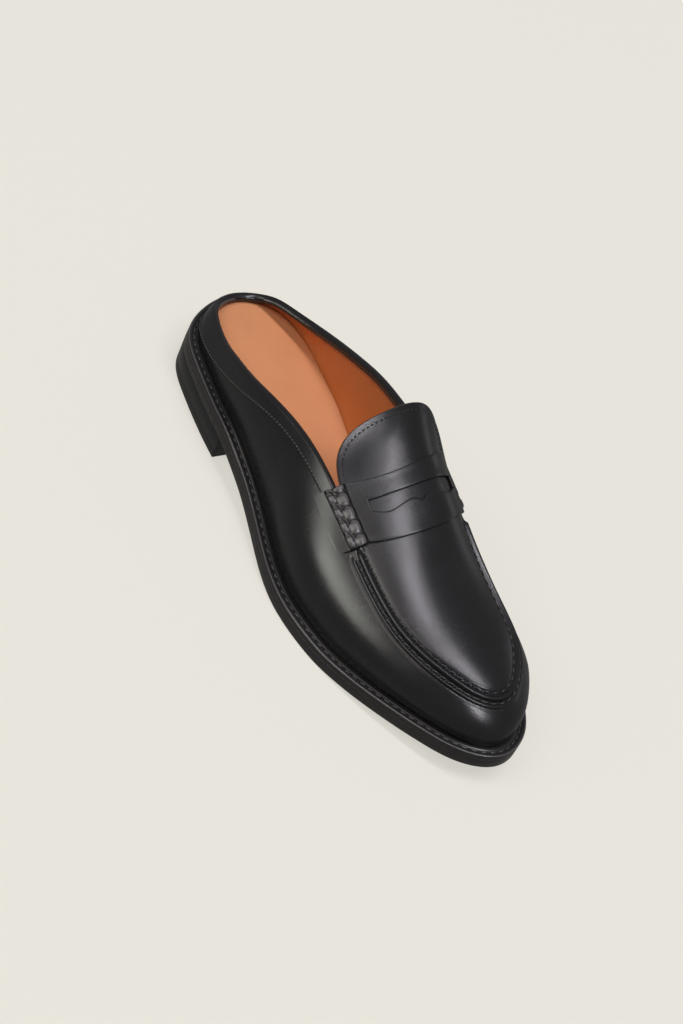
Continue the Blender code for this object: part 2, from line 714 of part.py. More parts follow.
def make_binding():
    """Leather folded over the collar from one roll round the heel to the other."""
    ends = [edge_shares(strap_back(side) - BINDING_ENDS_BEFORE_STRAP) for side in (1, -1)]
    lateral, medial = [np.append(SHARES[SHARES < end - STATION_CLEARANCE], end) for end in ends]
    places = np.concatenate([-medial[:0:-1], lateral])
    sections, lengths, normals = wall(places)
    outer_leg = np.minimum(BINDING_OUTER, lengths[-1] - BINDING_CLEAR_OF_WELT)
    inner_leg = np.minimum(BINDING_INNER, lengths[-1] - INSOLE_STEP - BINDING_CLEAR_OF_WELT)
    near, far = SEAT_GAP, SEAT_GAP + BINDING_LEATHER
    outline = [
        (1.0, near, 0), (1.0, far, 0), (0.5, far, 0), (0.0, far, 0),
        (0.0, far * FOLD_CORNER, far * FOLD_RISE), (0.0, -WALL - far * FOLD_CORNER, far * FOLD_RISE),
        (0.0, -WALL - far, 0), (-1.0, -WALL - far, 0), (-1.0, -WALL - near, 0),
        (0.0, -WALL - near, near), (0.0, near, near), (0.3, near, 0), (0.65, near, 0),
    ]
    at_end = np.zeros(len(places))
    at_end[[0, -1]] = edge_shares(0.0) - edge_shares(ROLL_RAKE)
    rise = sections[0] - sections[1]
    rise /= np.linalg.norm(rise, axis=1)[:, None]
    columns = []
    for down, across, above in outline:
        leg = outer_leg if down > 0 else inner_leg
        slant = at_end * max(down, 0) * leg * np.sign(places)
        point, out = read_down(*wall(places + slant), (abs(down) * leg)[None, :])
        columns.append(point[0] + out[0] * across + rise * above)
    swept("collar_binding", np.stack(columns, axis=1), BLACK_CALF)


def strap_edges(share):
    """Back and front of the strap at a share across it, 0 at the lateral end and 1 at the medial."""
    bow = 1 - (2 * share - 1) ** 2
    back = STRAP_BACK - STRAP_SKEW * share
    return back + STRAP_BACK_BOW * bow, back + STRAP_WIDTH + STRAP_FRONT_BOW * bow


def make_strap():
    """Saddle strap over the apron between the two rolls, with the slot cut through it."""
    across = np.linspace(0, 1, STRAP_STEPS + 1)[None, :]
    along = np.linspace(0, 1, 7)[:, None]
    back, front = strap_edges(across)
    y = back + (front - back) * along
    clear = ROLL_REACH_IN + SEAT_GAP
    lateral = read_branch(EDGE_LATERAL, y)[..., 0] - clear
    medial = read_branch(EDGE_MEDIAL, y)[..., 0] + clear
    x = lateral + (medial - lateral) * across
    base = np.stack([x, y, instep(x, y)], axis=-1)
    out = instep_normal(x, y)
    top = base + out * (SEAT_GAP + STRAP_LEATHER)
    strap = sheet("saddle_strap", top, base + out * SEAT_GAP, BLACK_CALF)
    middle_back, middle_front = strap_edges(0.5)
    slot_y = middle_back + (middle_front - middle_back) * SLOT_AT
    cutter = slot_cutter((lateral.mean() + medial.mean()) / 2, slot_y)
    cut = strap.modifiers.new("slot", "BOOLEAN")
    cut.operation = "DIFFERENCE"
    cut.solver = "EXACT"
    cut.object = cutter


def slot_cutter(x, y):
    """An upright prism of the slot's outline: straight behind, waved in front."""
    front = [(r.across, r.front) for r in SLOT] + [(-r.across, r.front) for r in SLOT[-2::-1]]
    outline = np.array(front + [(a, -0.5) for a in (1.0, 0.5, 0.0, -0.5, -1.0)])
    plan_x = x + outline[:, 0] * SLOT_HALF_LENGTH
    plan_y = y - outline[:, 0] ** 2 * STRAP_BACK_BOW + outline[:, 1] * SLOT_HEIGHT
    rings = []
    for z in (COLLAR_HEIGHT * SLOT_CUTTER_LOW, COLLAR_HEIGHT * SLOT_CUTTER_HIGH):
        rings.append(np.column_stack([plan_x, plan_y, np.full(len(outline), z)]))
    body = swept("slot_cutter", np.array(rings), BLACK_CALF)
    body.hide_render = True
    body.display_type = "WIRE"
    return body


def make_roll(name, side):
    """A lobed roll over the seam at the strap's end, with a flat tab down the side wall."""
    places = np.linspace(strap_back(side), strap_front(side), ROLL_STEPS + 1)
    inward = ROLL_REACH_IN * np.array([-1.0, -0.7, -0.4, -0.15])
    outside = ROLL_REACH_OUT * np.array([0.0, 0.13, 0.3, 0.46, 0.65, 0.84, 1.0])
    path, out = [], []
    edge = read_branch(EDGE_LATERAL if side > 0 else EDGE_MEDIAL, places)
    for reach in inward:
        x = edge[:, 0] + side * reach
        path.append(np.column_stack([x, places, instep(x, places)]))
        out.append(instep_normal(x, places))
    for reach in outside:
        sections, lengths, normals = wall(side * edge_shares(places - ROLL_RAKE * reach))
        point, normal = read_down(sections, lengths, normals, np.full((1, len(places)), reach))
        if reach == 0:
            normal = normal + out[-1]
            normal /= np.linalg.norm(normal, axis=2)[:, :, None]
        path.append(point[0])
        out.append(normal[0])
    path, out = np.array(path), np.array(out)
    reach = np.concatenate([inward, outside])[:, None]
    turn = np.linspace(0, 1, len(places))[None, :]
    hump = np.clip(1 - (reach / (ROLL_WIDTH / 2)) ** 2, 0, 1) ** ROLL_ROUNDNESS
    groove = ROLL_GROOVE * np.abs(np.cos(math.pi * ROLL_LOBES * turn)) ** ROLL_GROOVE_SHARPNESS
    round_off = np.clip(np.minimum(turn, 1 - turn) / ROLL_END, 0, 1) ** 0.5
    height = (ROLL_HEIGHT - TAB_LEATHER) * (ROLL_END_HEIGHT + (1 - ROLL_END_HEIGHT) * round_off)
    thick = TAB_LEATHER + hump * (height - groove)
    tab = np.clip((reach - TAB_ROUNDS_AT) / (ROLL_REACH_OUT - TAB_ROUNDS_AT), 0, 1)
    corner = np.clip(1 - np.minimum(turn, 1 - turn) / TAB_CORNER_SHARE, 0, 1)
    pull = tab**2 * TAB_CORNER * np.sign(turn - 0.5) * corner
    along = np.gradient(path, axis=1)
    along /= np.linalg.norm(along, axis=2)[:, :, None]
    path = path - along * pull[:, :, None]
    under = path + out * SEAT_GAP
    over = path + out * (SEAT_GAP + thick)[:, :, None]
    loops = np.concatenate([over, under[::-1]], axis=0).transpose(1, 0, 2)
    swept(name, loops, BLACK_CALF)


def make_tongue():
    """The apron's leather carried on behind the strap to a broad rounded end."""
    share = np.linspace(0, 1, TONGUE_STEPS + 1)
    turn = math.pi / 2 * (3 * share**2 - 2 * share**3)
    power = 2 / TONGUE_SQUARENESS
    start = THROAT_Y - SEAT_GAP
    y = start - (TONGUE_LENGTH - SEAT_GAP) * np.sin(turn) ** power
    half = TONGUE_HALF_WIDTH * np.cos(turn) ** power
    half[-1] = 0.0
    centre = (read_branch(EDGE_LATERAL, THROAT_Y)[0] + read_branch(EDGE_MEDIAL, THROAT_Y)[0]) / 2
    x = centre + half[:, None] * np.linspace(1, -1, PLUG_STEPS + 1)[None, :]
    behind = np.clip((THROAT_Y - y) / TONGUE_LENGTH, 0, 1)[:, None]
    y = y[:, None] + behind * TONGUE_SKEW * (x - centre) / TONGUE_HALF_WIDTH
    top = np.stack([x, y, instep(x, y)], axis=-1)
    sheet("tongue", top, top - instep_normal(x, y) * TONGUE_LEATHER, BLACK_CALF)


def main():
    """Clears the scene and makes every piece."""
    for thing in list(bpy.data.objects):
        bpy.data.objects.remove(thing)
    make_heel()
    make_outsole()
    make_welt()
    make_insole()
    make_upper()
    make_binding()
    make_strap()
    make_roll("strap_roll_lateral", 1)
    make_roll("strap_roll_medial", -1)
    make_tongue()


main()
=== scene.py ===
"""Looks of a right-foot backless penny loafer in black calf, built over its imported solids.

+Y runs from heel to toe, +X to the outer (lateral) side and +Z up. Every piece is worked out from
the last: the outline of the sole, the line where the upper meets the welt and the line of the
upper's top edge, which is the collar at the back and the apron seam in front.
"""

import logging
import math
from contextlib import contextmanager
from dataclasses import dataclass, field
from enum import Enum
from typing import Callable, Iterable, Iterator, NamedTuple, Sequence

import bpy
import numpy as np
from mathutils import Matrix, Vector
from mathutils.kdtree import KDTree

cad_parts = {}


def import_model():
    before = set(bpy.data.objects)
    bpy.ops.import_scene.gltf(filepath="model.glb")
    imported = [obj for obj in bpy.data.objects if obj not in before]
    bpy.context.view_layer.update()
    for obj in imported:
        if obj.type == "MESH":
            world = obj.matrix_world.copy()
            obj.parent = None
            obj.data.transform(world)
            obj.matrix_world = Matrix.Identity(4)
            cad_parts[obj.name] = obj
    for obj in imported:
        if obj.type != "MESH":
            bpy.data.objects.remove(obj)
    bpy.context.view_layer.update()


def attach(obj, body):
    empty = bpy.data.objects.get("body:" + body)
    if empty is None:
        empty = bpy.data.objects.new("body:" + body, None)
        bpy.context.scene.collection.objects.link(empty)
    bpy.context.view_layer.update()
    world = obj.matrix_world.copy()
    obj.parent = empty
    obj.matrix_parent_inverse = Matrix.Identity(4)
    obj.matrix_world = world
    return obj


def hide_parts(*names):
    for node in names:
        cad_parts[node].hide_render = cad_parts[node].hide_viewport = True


log = logging.getLogger("mule")

MM = 0.001
WELD = 0.02 * MM
BODY = "root"

Array = np.ndarray


class SoleRow(NamedTuple):
    """Half widths of the sole at a place along it: shares of length and of ball width."""

    along: float
    lateral: float
    medial: float


class LiftRow(NamedTuple):
    """Height of the sole's underside: shares of heel height and of toe spring."""

    along: float
    heel: float
    spring: float


class EdgeRow(NamedTuple):
    """The upper's top edge: shares of length, ball width and collar height, and of crown rise."""

    along: float
    lateral: float
    medial: float
    height: float
    lift: float
    crown: float


class WallRow(NamedTuple):
    """How far the side wall stands out from a straight line near its foot and its top."""

    along: float
    low: float
    high: float


class ReliefRow(NamedTuple):
    """Height of the apron seam's section at a distance from the seam, both in millimetres."""

    along: float
    height: float


class SlotRow(NamedTuple):
    """Front lip of the strap's slot: shares of its half length and of its height."""

    along: float
    front: float


# The sole's outline
OUTLINE = [SoleRow(*row) for row in (
    (0.018, 0.140, 0.210), (0.065, 0.301, 0.323), (0.140, 0.365, 0.350), (0.250, 0.400, 0.322),
    (0.360, 0.414, 0.290), (0.460, 0.460, 0.298), (0.560, 0.514, 0.360), (0.650, 0.512, 0.446),
    (0.750, 0.448, 0.482), (0.840, 0.343, 0.434), (0.920, 0.227, 0.346), (0.975, 0.112, 0.222),
)]
HEEL_END = -0.036
TOE_END = -0.048

# The sole's underside, flat under the heel, over the floor at the waist and up again at the toe
SOLE_LIFT = [LiftRow(*row) for row in (
    (0.00, 1.03, 0.00), (0.12, 1.00, 0.00), (0.26, 0.97, 0.00), (0.36, 0.64, 0.00),
    (0.46, 0.29, 0.00), (0.55, 0.07, 0.00), (0.61, 0.00, 0.00), (0.70, 0.00, 0.00),
    (0.78, 0.00, 0.16), (0.86, 0.00, 0.42), (0.93, 0.00, 0.70), (1.00, 0.00, 1.00),
)]

# Share of the welt's width that shows outside the upper
WELT_SHOWN = [SoleRow(*row) for row in (
    (0.00, 0.92, 0.92), (0.20, 0.92, 0.85), (0.40, 0.95, 0.72), (0.60, 1.00, 0.92),
    (1.00, 1.00, 1.00),
)]

# The collar at the back and the apron seam in front, with their two end points below
EDGE = [EdgeRow(*row) for row in (
    (0.034, 0.118, 0.142, 0.480, 0.000, 1.00), (0.057, 0.184, 0.182, 0.530, 0.005, 1.00),
    (0.101, 0.246, 0.222, 0.585, 0.010, 1.00), (0.152, 0.295, 0.262, 0.646, 0.012, 1.00),
    (0.203, 0.331, 0.279, 0.731, 0.012, 1.00), (0.260, 0.358, 0.288, 0.823, 0.014, 1.00),
    (0.330, 0.362, 0.288, 0.925, 0.016, 1.00), (0.405, 0.345, 0.280, 0.985, 0.022, 1.00),
    (0.480, 0.339, 0.284, 0.998, 0.030, 1.00), (0.557, 0.333, 0.288, 0.946, 0.036, 1.00),
    (0.659, 0.322, 0.280, 0.831, 0.028, 0.88), (0.760, 0.294, 0.287, 0.731, 0.015, 0.68),
    (0.811, 0.255, 0.283, 0.703, 0.015, 0.58), (0.851, 0.206, 0.261, 0.695, 0.005, 0.48),
    (0.892, 0.132, 0.206, 0.680, 0.000, 0.33), (0.919, 0.059, 0.147, 0.662, 0.000, 0.17),
)]
EDGE_HEEL = EdgeRow(0.0190, -0.014, 0.0, 0.455, 0.0, 1.0)
EDGE_TOE = EdgeRow(0.934, -0.049, 0.0, 0.646, 0.0, 0.0)

# Fullness of the side wall
WALL_SHAPE = [WallRow(*row) for row in (
    (0.00, 0.12, 0.08), (0.10, 0.15, 0.12), (0.25, 0.07, 0.07), (0.40, 0.07, 0.09),
    (0.50, 0.13, 0.15), (0.60, 0.20, 0.23), (0.75, 0.24, 0.28), (0.90, 0.30, 0.25),
    (1.00, 0.34, 0.22),
)]

# Section of the raised apron seam, from the apron (minus) over the seam's edge and down the wall
SEAM_RELIEF = [ReliefRow(*row) for row in (
    (-4.2, 0.00), (-2.9, -0.04), (-2.2, -0.30), (-1.5, -0.80), (-0.9, -0.70), (-0.3, 0.20),
    (0.3, 1.05), (0.8, 1.50), (1.2, 1.55), (1.6, 1.20), (2.1, 0.40), (2.7, -0.10), (3.4, -0.20),
    (4.1, 0.10), (4.7, 0.75), (5.1, 0.95), (5.5, 0.65), (5.9, -0.15), (6.3, -0.50), (7.0, -0.20),
    (8.4, 0.00),
)]

# Two shallow scallops that meet in a point at the middle of the slot
SLOT_LIP = [SlotRow(*row) for row in (
    (-1.00, 0.22), (-0.72, 0.50), (-0.22, 0.20), (-0.13, 0.26), (0.00, 0.50), (0.13, 0.26),
    (0.22, 0.20), (0.72, 0.50), (1.00, 0.22),
)]


class Side(Enum):
    """The two sides of a right shoe."""

    LATERAL = 1
    MEDIAL = -1


class Falls(Enum):
    """What a light is seen by: everything, or only sheens."""

    ON_ALL = "all"
    ON_SHEEN = "sheen"


def smooth_step(value: Array) -> Array:
    """A soft rise from 0 to 1."""
    value = np.clip(value, 0, 1)
    return value * value * (3 - 2 * value)


def unit(vectors: Array) -> Array:
    """The vectors at length one."""
    return vectors / np.linalg.norm(vectors, axis=-1)[..., None]


def read_rows(rows: Sequence[tuple], column: str, where: Array) -> Array:
    """Reads one column of a table through a monotone cubic.

    Args:
        rows: Rows that share a field named along.
        column: The field to read.
        where: Places along, clipped to the table's own.

    Returns:
        The column's value at each place.
    """
    x = np.array([row.along for row in rows])
    y = np.array([getattr(row, column) for row in rows])
    step = np.diff(x)
    secant = np.diff(y) / step
    slope = np.concatenate([[secant[0]], np.zeros(len(x) - 2), [secant[-1]]])
    for i in range(1, len(x) - 1):
        if secant[i - 1] * secant[i] > 0:
            w1 = 2 * step[i] + step[i - 1]
            w2 = step[i] + 2 * step[i - 1]
            slope[i] = (w1 + w2) / (w1 / secant[i - 1] + w2 / secant[i])
    where = np.clip(np.asarray(where, float), x[0], x[-1])
    i = np.clip(np.searchsorted(x, where, side="right") - 1, 0, len(x) - 2)
    t = (where - x[i]) / step[i]
    return (
        (2 * t**3 - 3 * t**2 + 1) * y[i]
        + (t**3 - 2 * t**2 + t) * step[i] * slope[i]
        + (3 * t**2 - 2 * t**3) * y[i + 1]
        + (t**3 - t**2) * step[i] * slope[i + 1]
    )


def closed_curve(points: Sequence[tuple], count: int = 2400) -> Array:
    """A periodic cubic through the points, starting at the first.

    Args:
        points: Points in plan or in space.
        count: How many points to return.

    Returns:
        The curve's points.
    """
    p = np.asarray(points, float)
    n = len(p)
    following = np.roll(p, -1, axis=0)
    h = np.linalg.norm(following - p, axis=1) ** 0.75
    matrix = np.zeros((n, n))
    right = np.zeros_like(p)
    for i in range(n):
        a, b = h[i - 1], h[i]
        matrix[i, (i - 1) % n] += b
        matrix[i, i] += 2 * (a + b)
        matrix[i, (i + 1) % n] += a
        right[i] = 3 * (b * (p[i] - p[i - 1]) / a + a * (following[i] - p[i]) / b)
    slope = np.linalg.solve(matrix, right)
    knots = np.concatenate([[0], np.cumsum(h)])
    s = np.linspace(0, knots[-1], count, endpoint=False)
    i = np.clip(np.searchsorted(knots, s, side="right") - 1, 0, n - 1)
    t = ((s - knots[i]) / h[i])[:, None]
    j = (i + 1) % n
    span = h[i][:, None]
    return (
        (2 * t**3 - 3 * t**2 + 1) * p[i]
        + (t**3 - 2 * t**2 + t) * span * slope[i]
        + (3 * t**2 - 2 * t**3) * p[j]
        + (t**3 - t**2) * span * slope[j]
    )


def outward(curve: Array) -> Array:
    """Horizontal normals of a closed curve that runs heel, lateral side, toe, medial side."""
    along = np.roll(curve, -1, axis=0) - np.roll(curve, 1, axis=0)
    return unit(np.stack([along[:, 1], -along[:, 0]], axis=1))


def inset(curve: Array, distance: Array | float) -> Array:
    """The plan curve moved inward by a distance, or by one distance for each point."""
    return curve - outward(curve) * np.broadcast_to(distance, (len(curve),))[:, None]


def branches(curve: Array) -> tuple[Array, Array]:
    """Splits a closed curve at its hindmost and foremost points.

    Args:
        curve: Points that run heel, lateral side, toe, medial side.

    Returns:
        The lateral and the medial half, both from heel to toe.
    """
    curve = np.roll(curve, -int(np.argmin(curve[:, 1])), axis=0)
    toe = int(np.argmax(curve[:, 1]))
    return curve[: toe + 1], np.vstack([curve[toe:], curve[:1]])[::-1]


def read_branch(branch: Array, y: Array) -> Array:
    """Points of one half at the given places along the shoe."""
    columns = [np.interp(y, branch[:, 1], branch[:, c]) for c in range(branch.shape[1])]
    return np.stack(columns, axis=-1)


def read_round(curve: Array, places: Array) -> Array:
    """Points of a closed curve at places round the shoe.

    Args:
        curve: Points that run heel, lateral side, toe, medial side.
        places: 0 at the heel, 1 at the toe and on to 2 along the medial side.

    Returns:
        One point for each place.
    """
    lateral, medial = branches(curve)
    places = np.mod(places, 2)
    share = np.where(places > 1, 2 - places, places)
    y = lateral[0, 1] + (lateral[-1, 1] - lateral[0, 1]) * share
    return np.where((places > 1)[:, None], read_branch(medial, y), read_branch(lateral, y))


def crosswise(lateral: Array, medial: Array, share: Array) -> Array:
    """Points at shares of the way from each lateral point to its medial one."""
    return lateral[:, None, :] + (medial - lateral)[:, None, :] * share[None, :, None]


def spread(turns: Array) -> Array:
    """Places round the shoe for even turns from 0 to 2, closer together at heel and toe."""
    share = (1 - np.cos(math.pi * turns)) / 2
    return np.where(turns <= 1, share, 2 - share)


@dataclass
class Last:
    """The form that the shoe is built on, with the same sizes as the solids.

    Its own frame has y = 0 at the heel's end; centre is what takes it to the row's frame.
    """

    length: float = 296 * MM
    ball_width: float = 102 * MM
    heel_height: float = 14.5 * MM
    toe_spring: float = 12 * MM
    collar_height: float = 65 * MM
    crown_rise: float = 12 * MM
    outsole: float = 5 * MM
    welt: float = 3.2 * MM
    welt_width: float = 6 * MM
    welt_blend: float = 25 * MM
    seat_gap: float = 0.3 * MM
    wall_handle: float = 0.42
    toe_fullness: float = 0.35
    full_from: tuple[float, float] = (0.74, 0.86)
    full_after_toe: float = 0.1
    plug_roundness: float = 2.05
    instep_roundness: float = 2.0
    instep_shoulder: float = 2.3
    instep_ends: tuple[float, float] = (182 * MM, 222 * MM)
    instep_tilt: float = 0.2
    tilt_ends: tuple[float, float] = (150 * MM, 222 * MM)
    throat: float = 165 * MM
    tongue_length: float = 27 * MM
    tongue_rise: float = 16.5 * MM
    tongue_curl: float = 0.5
    sole_curve: Array = field(init=False)
    edge_curve: Array = field(init=False)
    feather: Array = field(init=False)
    centre: Array = field(init=False)

    def __post_init__(self) -> None:
        """Draws the three curves that everything else is read from."""
        wide = self.ball_width
        lateral = [(r.lateral * wide, r.along * self.length) for r in OUTLINE]
        medial = [(-r.medial * wide, r.along * self.length) for r in OUTLINE[::-1]]
        heel, toe = (HEEL_END * wide, 0.0), (TOE_END * wide, self.length)
        self.sole_curve = closed_curve([heel] + lateral + [toe] + medial)
        self.edge_curve = closed_curve(self.edge_points())
        self.feather = inset(self.sole_curve, self.welt_shown(self.sole_curve))
        self.edge_lateral, self.edge_medial = branches(self.edge_curve)
        low, high = self.sole_curve.min(axis=0), self.sole_curve.max(axis=0)
        self.centre = np.array([*(low + high) / 2, 0.0])

    def edge_points(self) -> list[tuple]:
        """The upper's top edge in space.

        Returns:
            Points from the heel up the lateral side and back down the medial side.
        """
        wide, tall = self.ball_width, self.collar_height

        def point(row: EdgeRow, side: float, lift: float = 0.0) -> tuple:
            """One row's point at a share of the ball's width to one side."""
            return side * wide, row.along * self.length, (row.height + lift) * tall

        heel, toe = point(EDGE_HEEL, EDGE_HEEL.lateral), point(EDGE_TOE, EDGE_TOE.lateral)
        lateral = [point(row, row.lateral) for row in EDGE]
        medial = [point(row, -row.medial, row.lift) for row in EDGE[::-1]]
        return [heel] + lateral + [toe] + medial

    def welt_shown(self, curve: Array) -> Array:
        """Width of welt outside the upper.

        Args:
            curve: Points of the sole's outline.

        Returns:
            The width at each point.
        """
        share = curve[:, 1] / self.length
        lateral = read_rows(WELT_SHOWN, "lateral", share)
        medial = read_rows(WELT_SHOWN, "medial", share)
        middle = np.interp(share, [0, 1], [HEEL_END * self.ball_width, TOE_END * self.ball_width])
        side = np.clip(0.5 + (curve[:, 0] - middle) / self.welt_blend, 0, 1)
        return self.welt_width * (medial + (lateral - medial) * side)

    @property
    def welt_bottom(self) -> float:
        """Height of the welt's underside over the sole's."""
        return self.outsole + self.seat_gap

    @property
    def upper_bottom(self) -> float:
        """Height of the upper's foot over the sole's underside."""
        return self.welt_bottom + self.welt + self.seat_gap

    def sole_bottom(self, y: Array) -> Array:
        """Height of the outsole's underside at a place along the shoe."""
        share = np.asarray(y) / self.length
        heel = read_rows(SOLE_LIFT, "heel", share) * self.heel_height
        return heel + read_rows(SOLE_LIFT, "spring", share) * self.toe_spring

    def on_sole(self, plan: Array, height: Array | float) -> Array:
        """A plan ring lifted to a height above the sole's underside."""
        return np.column_stack([plan[:, :2], self.sole_bottom(plan[:, 1]) + height])

    def ring(self, curve: Array, distance: float, places: Array, height: Array | float) -> Array:
        """The curve moved inward, read at places and lifted over the sole."""
        return self.on_sole(read_round(inset(curve, distance), places), height)

    def wall_sections(self, places: Array, samples: int = 49) -> Array:
        """The side wall's outer face, a cubic from the top edge to the welt.

        Args:
            places: Places round the shoe.
            samples: Points down each section.

        Returns:
            Samples by places by three.
        """
        edge = read_round(self.edge_curve, places)
        plan = read_round(np.column_stack([self.feather, outward(self.feather)]), places)
        foot = self.on_sole(plan, self.upper_bottom)
        out = np.column_stack([plan[:, 2:4], np.zeros(len(plan))])
        share = edge[:, 1] / self.length
        medial = np.clip((np.mod(places, 2) - 1) / self.full_after_toe, 0, 1)
        first, final = self.full_from
        full = 1 + self.toe_fullness * medial * smooth_step((share - first) / (final - first))
        tall = (edge[:, 2] - foot[:, 2]) * full
        chord = edge - foot
        stands_low = (tall * read_rows(WALL_SHAPE, "low", share))[:, None]
        stands_high = (tall * read_rows(WALL_SHAPE, "high", share))[:, None]
        low = foot + self.wall_handle * chord + out * stands_low
        high = edge - self.wall_handle * chord + out * stands_high
        t = np.linspace(0, 1, samples)[:, None, None]
        return (1 - t) ** 3 * edge + 3 * (1 - t) ** 2 * t * high + 3 * (1 - t) * t**2 * low + t**3 * foot

    def wall(self, places: Array, distances: Array | Callable[[Array], Array]) -> tuple[Array, Array]:
        """Reads the side wall at distances down from its top edge.

        Args:
            places: Places round the shoe, one for each column.
            distances: One row for each reading, or a function of the wall's length.

        Returns:
            Points and outward normals, both rows by columns by three.
        """
        sections = self.wall_sections(places)
        steps = np.linalg.norm(np.diff(sections, axis=0), axis=2)
        lengths = np.vstack([np.zeros(sections.shape[1]), np.cumsum(steps, axis=0)])
        nearby = 0.002
        onward = self.wall_sections(places + nearby) - self.wall_sections(places - nearby)
        normals = unit(np.cross(np.gradient(sections, axis=0), onward))
        if callable(distances):
            distances = distances(lengths[-1])
        points = np.empty(distances.shape + (3,))
        out = np.empty_like(points)
        for column in range(distances.shape[1]):
            for c in range(3):
                at = distances[:, column]
                points[:, column, c] = np.interp(at, lengths[:, column], sections[:, column, c])
                out[:, column, c] = np.interp(at, lengths[:, column], normals[:, column, c])
        return points, unit(out)

    def edge_place(self, y: Array) -> Array:
        """The place round the lateral half that puts the top edge at y."""
        first, last = self.edge_lateral[0, 1], self.edge_lateral[-1, 1]
        return (np.asarray(y) - first) / (last - first)

    def instep(self, x: Array, y: Array) -> Array:
        """Height of the apron, and of the tongue that runs on behind it.

        Args:
            x: Places across the shoe.
            y: Places along it.

        Returns:
            The height over each place.
        """
        x, y = np.broadcast_arrays(np.asarray(x, float), np.asarray(y, float))
        on_apron = np.maximum(y, self.throat)
        lateral = read_branch(self.edge_lateral, on_apron)
        medial = read_branch(self.edge_medial, on_apron)
        middle = (lateral[..., 0] + medial[..., 0]) / 2
        half = np.maximum((lateral[..., 0] - medial[..., 0]) / 2, 0.1 * MM)
        rows = [EDGE_HEEL] + EDGE + [EDGE_TOE]
        crown = read_rows(rows, "crown", on_apron / self.length) * self.crown_rise
        aside = (x - middle) / half
        edge = (lateral[..., 2] * (1 + aside) + medial[..., 2] * (1 - aside)) / 2
        first, final = self.instep_ends
        near = 1 - smooth_step((y - first) / (final - first))
        rounded = np.where(aside < 0, self.instep_shoulder, self.instep_roundness)
        power = self.plug_roundness + (rounded - self.plug_roundness) * near
        first, final = self.tilt_ends
        tilt = self.instep_tilt * (1 - smooth_step((y - first) / (final - first)))
        leaning = -tilt * half * aside * np.clip(1 - aside**2, 0, 1)
        behind = np.maximum(self.throat - y, 0) / self.tongue_length
        slope = (1 - self.tongue_curl) * behind + self.tongue_curl * behind**2
        return edge + crown * (1 - np.abs(aside) ** power) + leaning + self.tongue_rise * slope

    def over_instep(self, x: Array, y: Array) -> Array:
        """Points of the apron over places across and along the shoe."""
        return np.stack([x, y, self.instep(x, y)], axis=-1)

    def instep_normal(self, x: Array, y: Array) -> Array:
        """Outward normal of the apron.

        Args:
            x: Places across the shoe.
            y: Places along it.

        Returns:
            The normal at each place.
        """
        step = 0.3 * MM
        dx = (self.instep(x + step, y) - self.instep(x - step, y)) / (2 * step)
        dy = (self.instep(x, y + step) - self.instep(x, y - step)) / (2 * step)
        return unit(np.stack([-dx, -dy, np.ones_like(dx)], axis=-1))


def deselect() -> None:
    """Leaves nothing selected, so that the next operator acts on its own piece only."""
    bpy.ops.object.select_all(action="DESELECT")


def only(piece: bpy.types.Object) -> None:
    """Makes one piece the selected and active one."""
    deselect()
    piece.select_set(True)
    bpy.context.view_layer.objects.active = piece


def loft(name: str, points: Array, centre: Array) -> bpy.types.Object:
    """A grid primitive laid over rows and columns of points.

    Args:
        name: The piece's name.
        points: Rows by columns by three, in the last's frame.
        centre: What takes the last's frame to the row's.

    Returns:
        The piece, with its grid's UV map kept: columns along U and rows along V.
    """
    rows, columns = points.shape[:2]
    deselect()
    bpy.ops.mesh.primitive_grid_add(x_subdivisions=columns - 1, y_subdivisions=rows - 1, size=1)
    piece = bpy.context.object
    piece.name = piece.data.name = name
    piece.data.vertices.foreach_set("co", (points - centre).reshape(-1))
    piece.data.update()
    return piece


@contextmanager
def editing(piece: bpy.types.Object, select: str = "SELECT") -> Iterator[None]:
    """Edit mode on one piece.

    Args:
        piece: The mesh.
        select: What to do with its vertices first, SELECT or DESELECT.
    """
    only(piece)
    bpy.ops.object.mode_set(mode="EDIT")
    bpy.ops.mesh.select_all(action=select)
    yield
    bpy.ops.object.mode_set(mode="OBJECT")


def weld(piece: bpy.types.Object) -> None:
    """Merges what meets and turns every face outward."""
    with editing(piece):
        bpy.ops.mesh.remove_doubles(threshold=WELD)
        bpy.ops.mesh.normals_make_consistent(inside=False)


def face_up(piece: bpy.types.Object, away: Vector) -> None:
    """Turns an open sheet's faces, if need be, so that most of them point one way.

    Args:
        piece: The sheet.
        away: The way that they are to point.
    """
    total = sum((face.normal * face.area for face in piece.data.polygons), Vector())
    if total.dot(away) < 0:
        with editing(piece):
            bpy.ops.mesh.flip_normals()


def close_ends(piece: bpy.types.Object) -> None:
    """Fills a strip's two open ends and turns every face outward.

    Args:
        piece: The strip, open only at its two ends.
    """
    with editing(piece, "DESELECT"):
        bpy.ops.mesh.select_mode(type="EDGE")
        bpy.ops.mesh.select_non_manifold(extend=False, use_wire=False, use_multi_face=False,
                                         use_non_contiguous=False, use_verts=False)
        bpy.ops.mesh.edge_face_add()
        bpy.ops.mesh.select_all(action="SELECT")
        bpy.ops.mesh.normals_make_consistent(inside=False)


def remove_faces(piece: bpy.types.Object, wanted: Iterable[int]) -> None:
    """Deletes faces, with the vertices that only they use.

    Args:
        piece: The mesh.
        wanted: The faces' numbers.
    """
    with editing(piece, "DESELECT"):
        bpy.ops.mesh.select_mode(type="FACE")
    for number in wanted:
        piece.data.polygons[number].select = True
    bpy.ops.object.mode_set(mode="EDIT")
    bpy.ops.mesh.delete(type="FACE")
    bpy.ops.object.mode_set(mode="OBJECT")


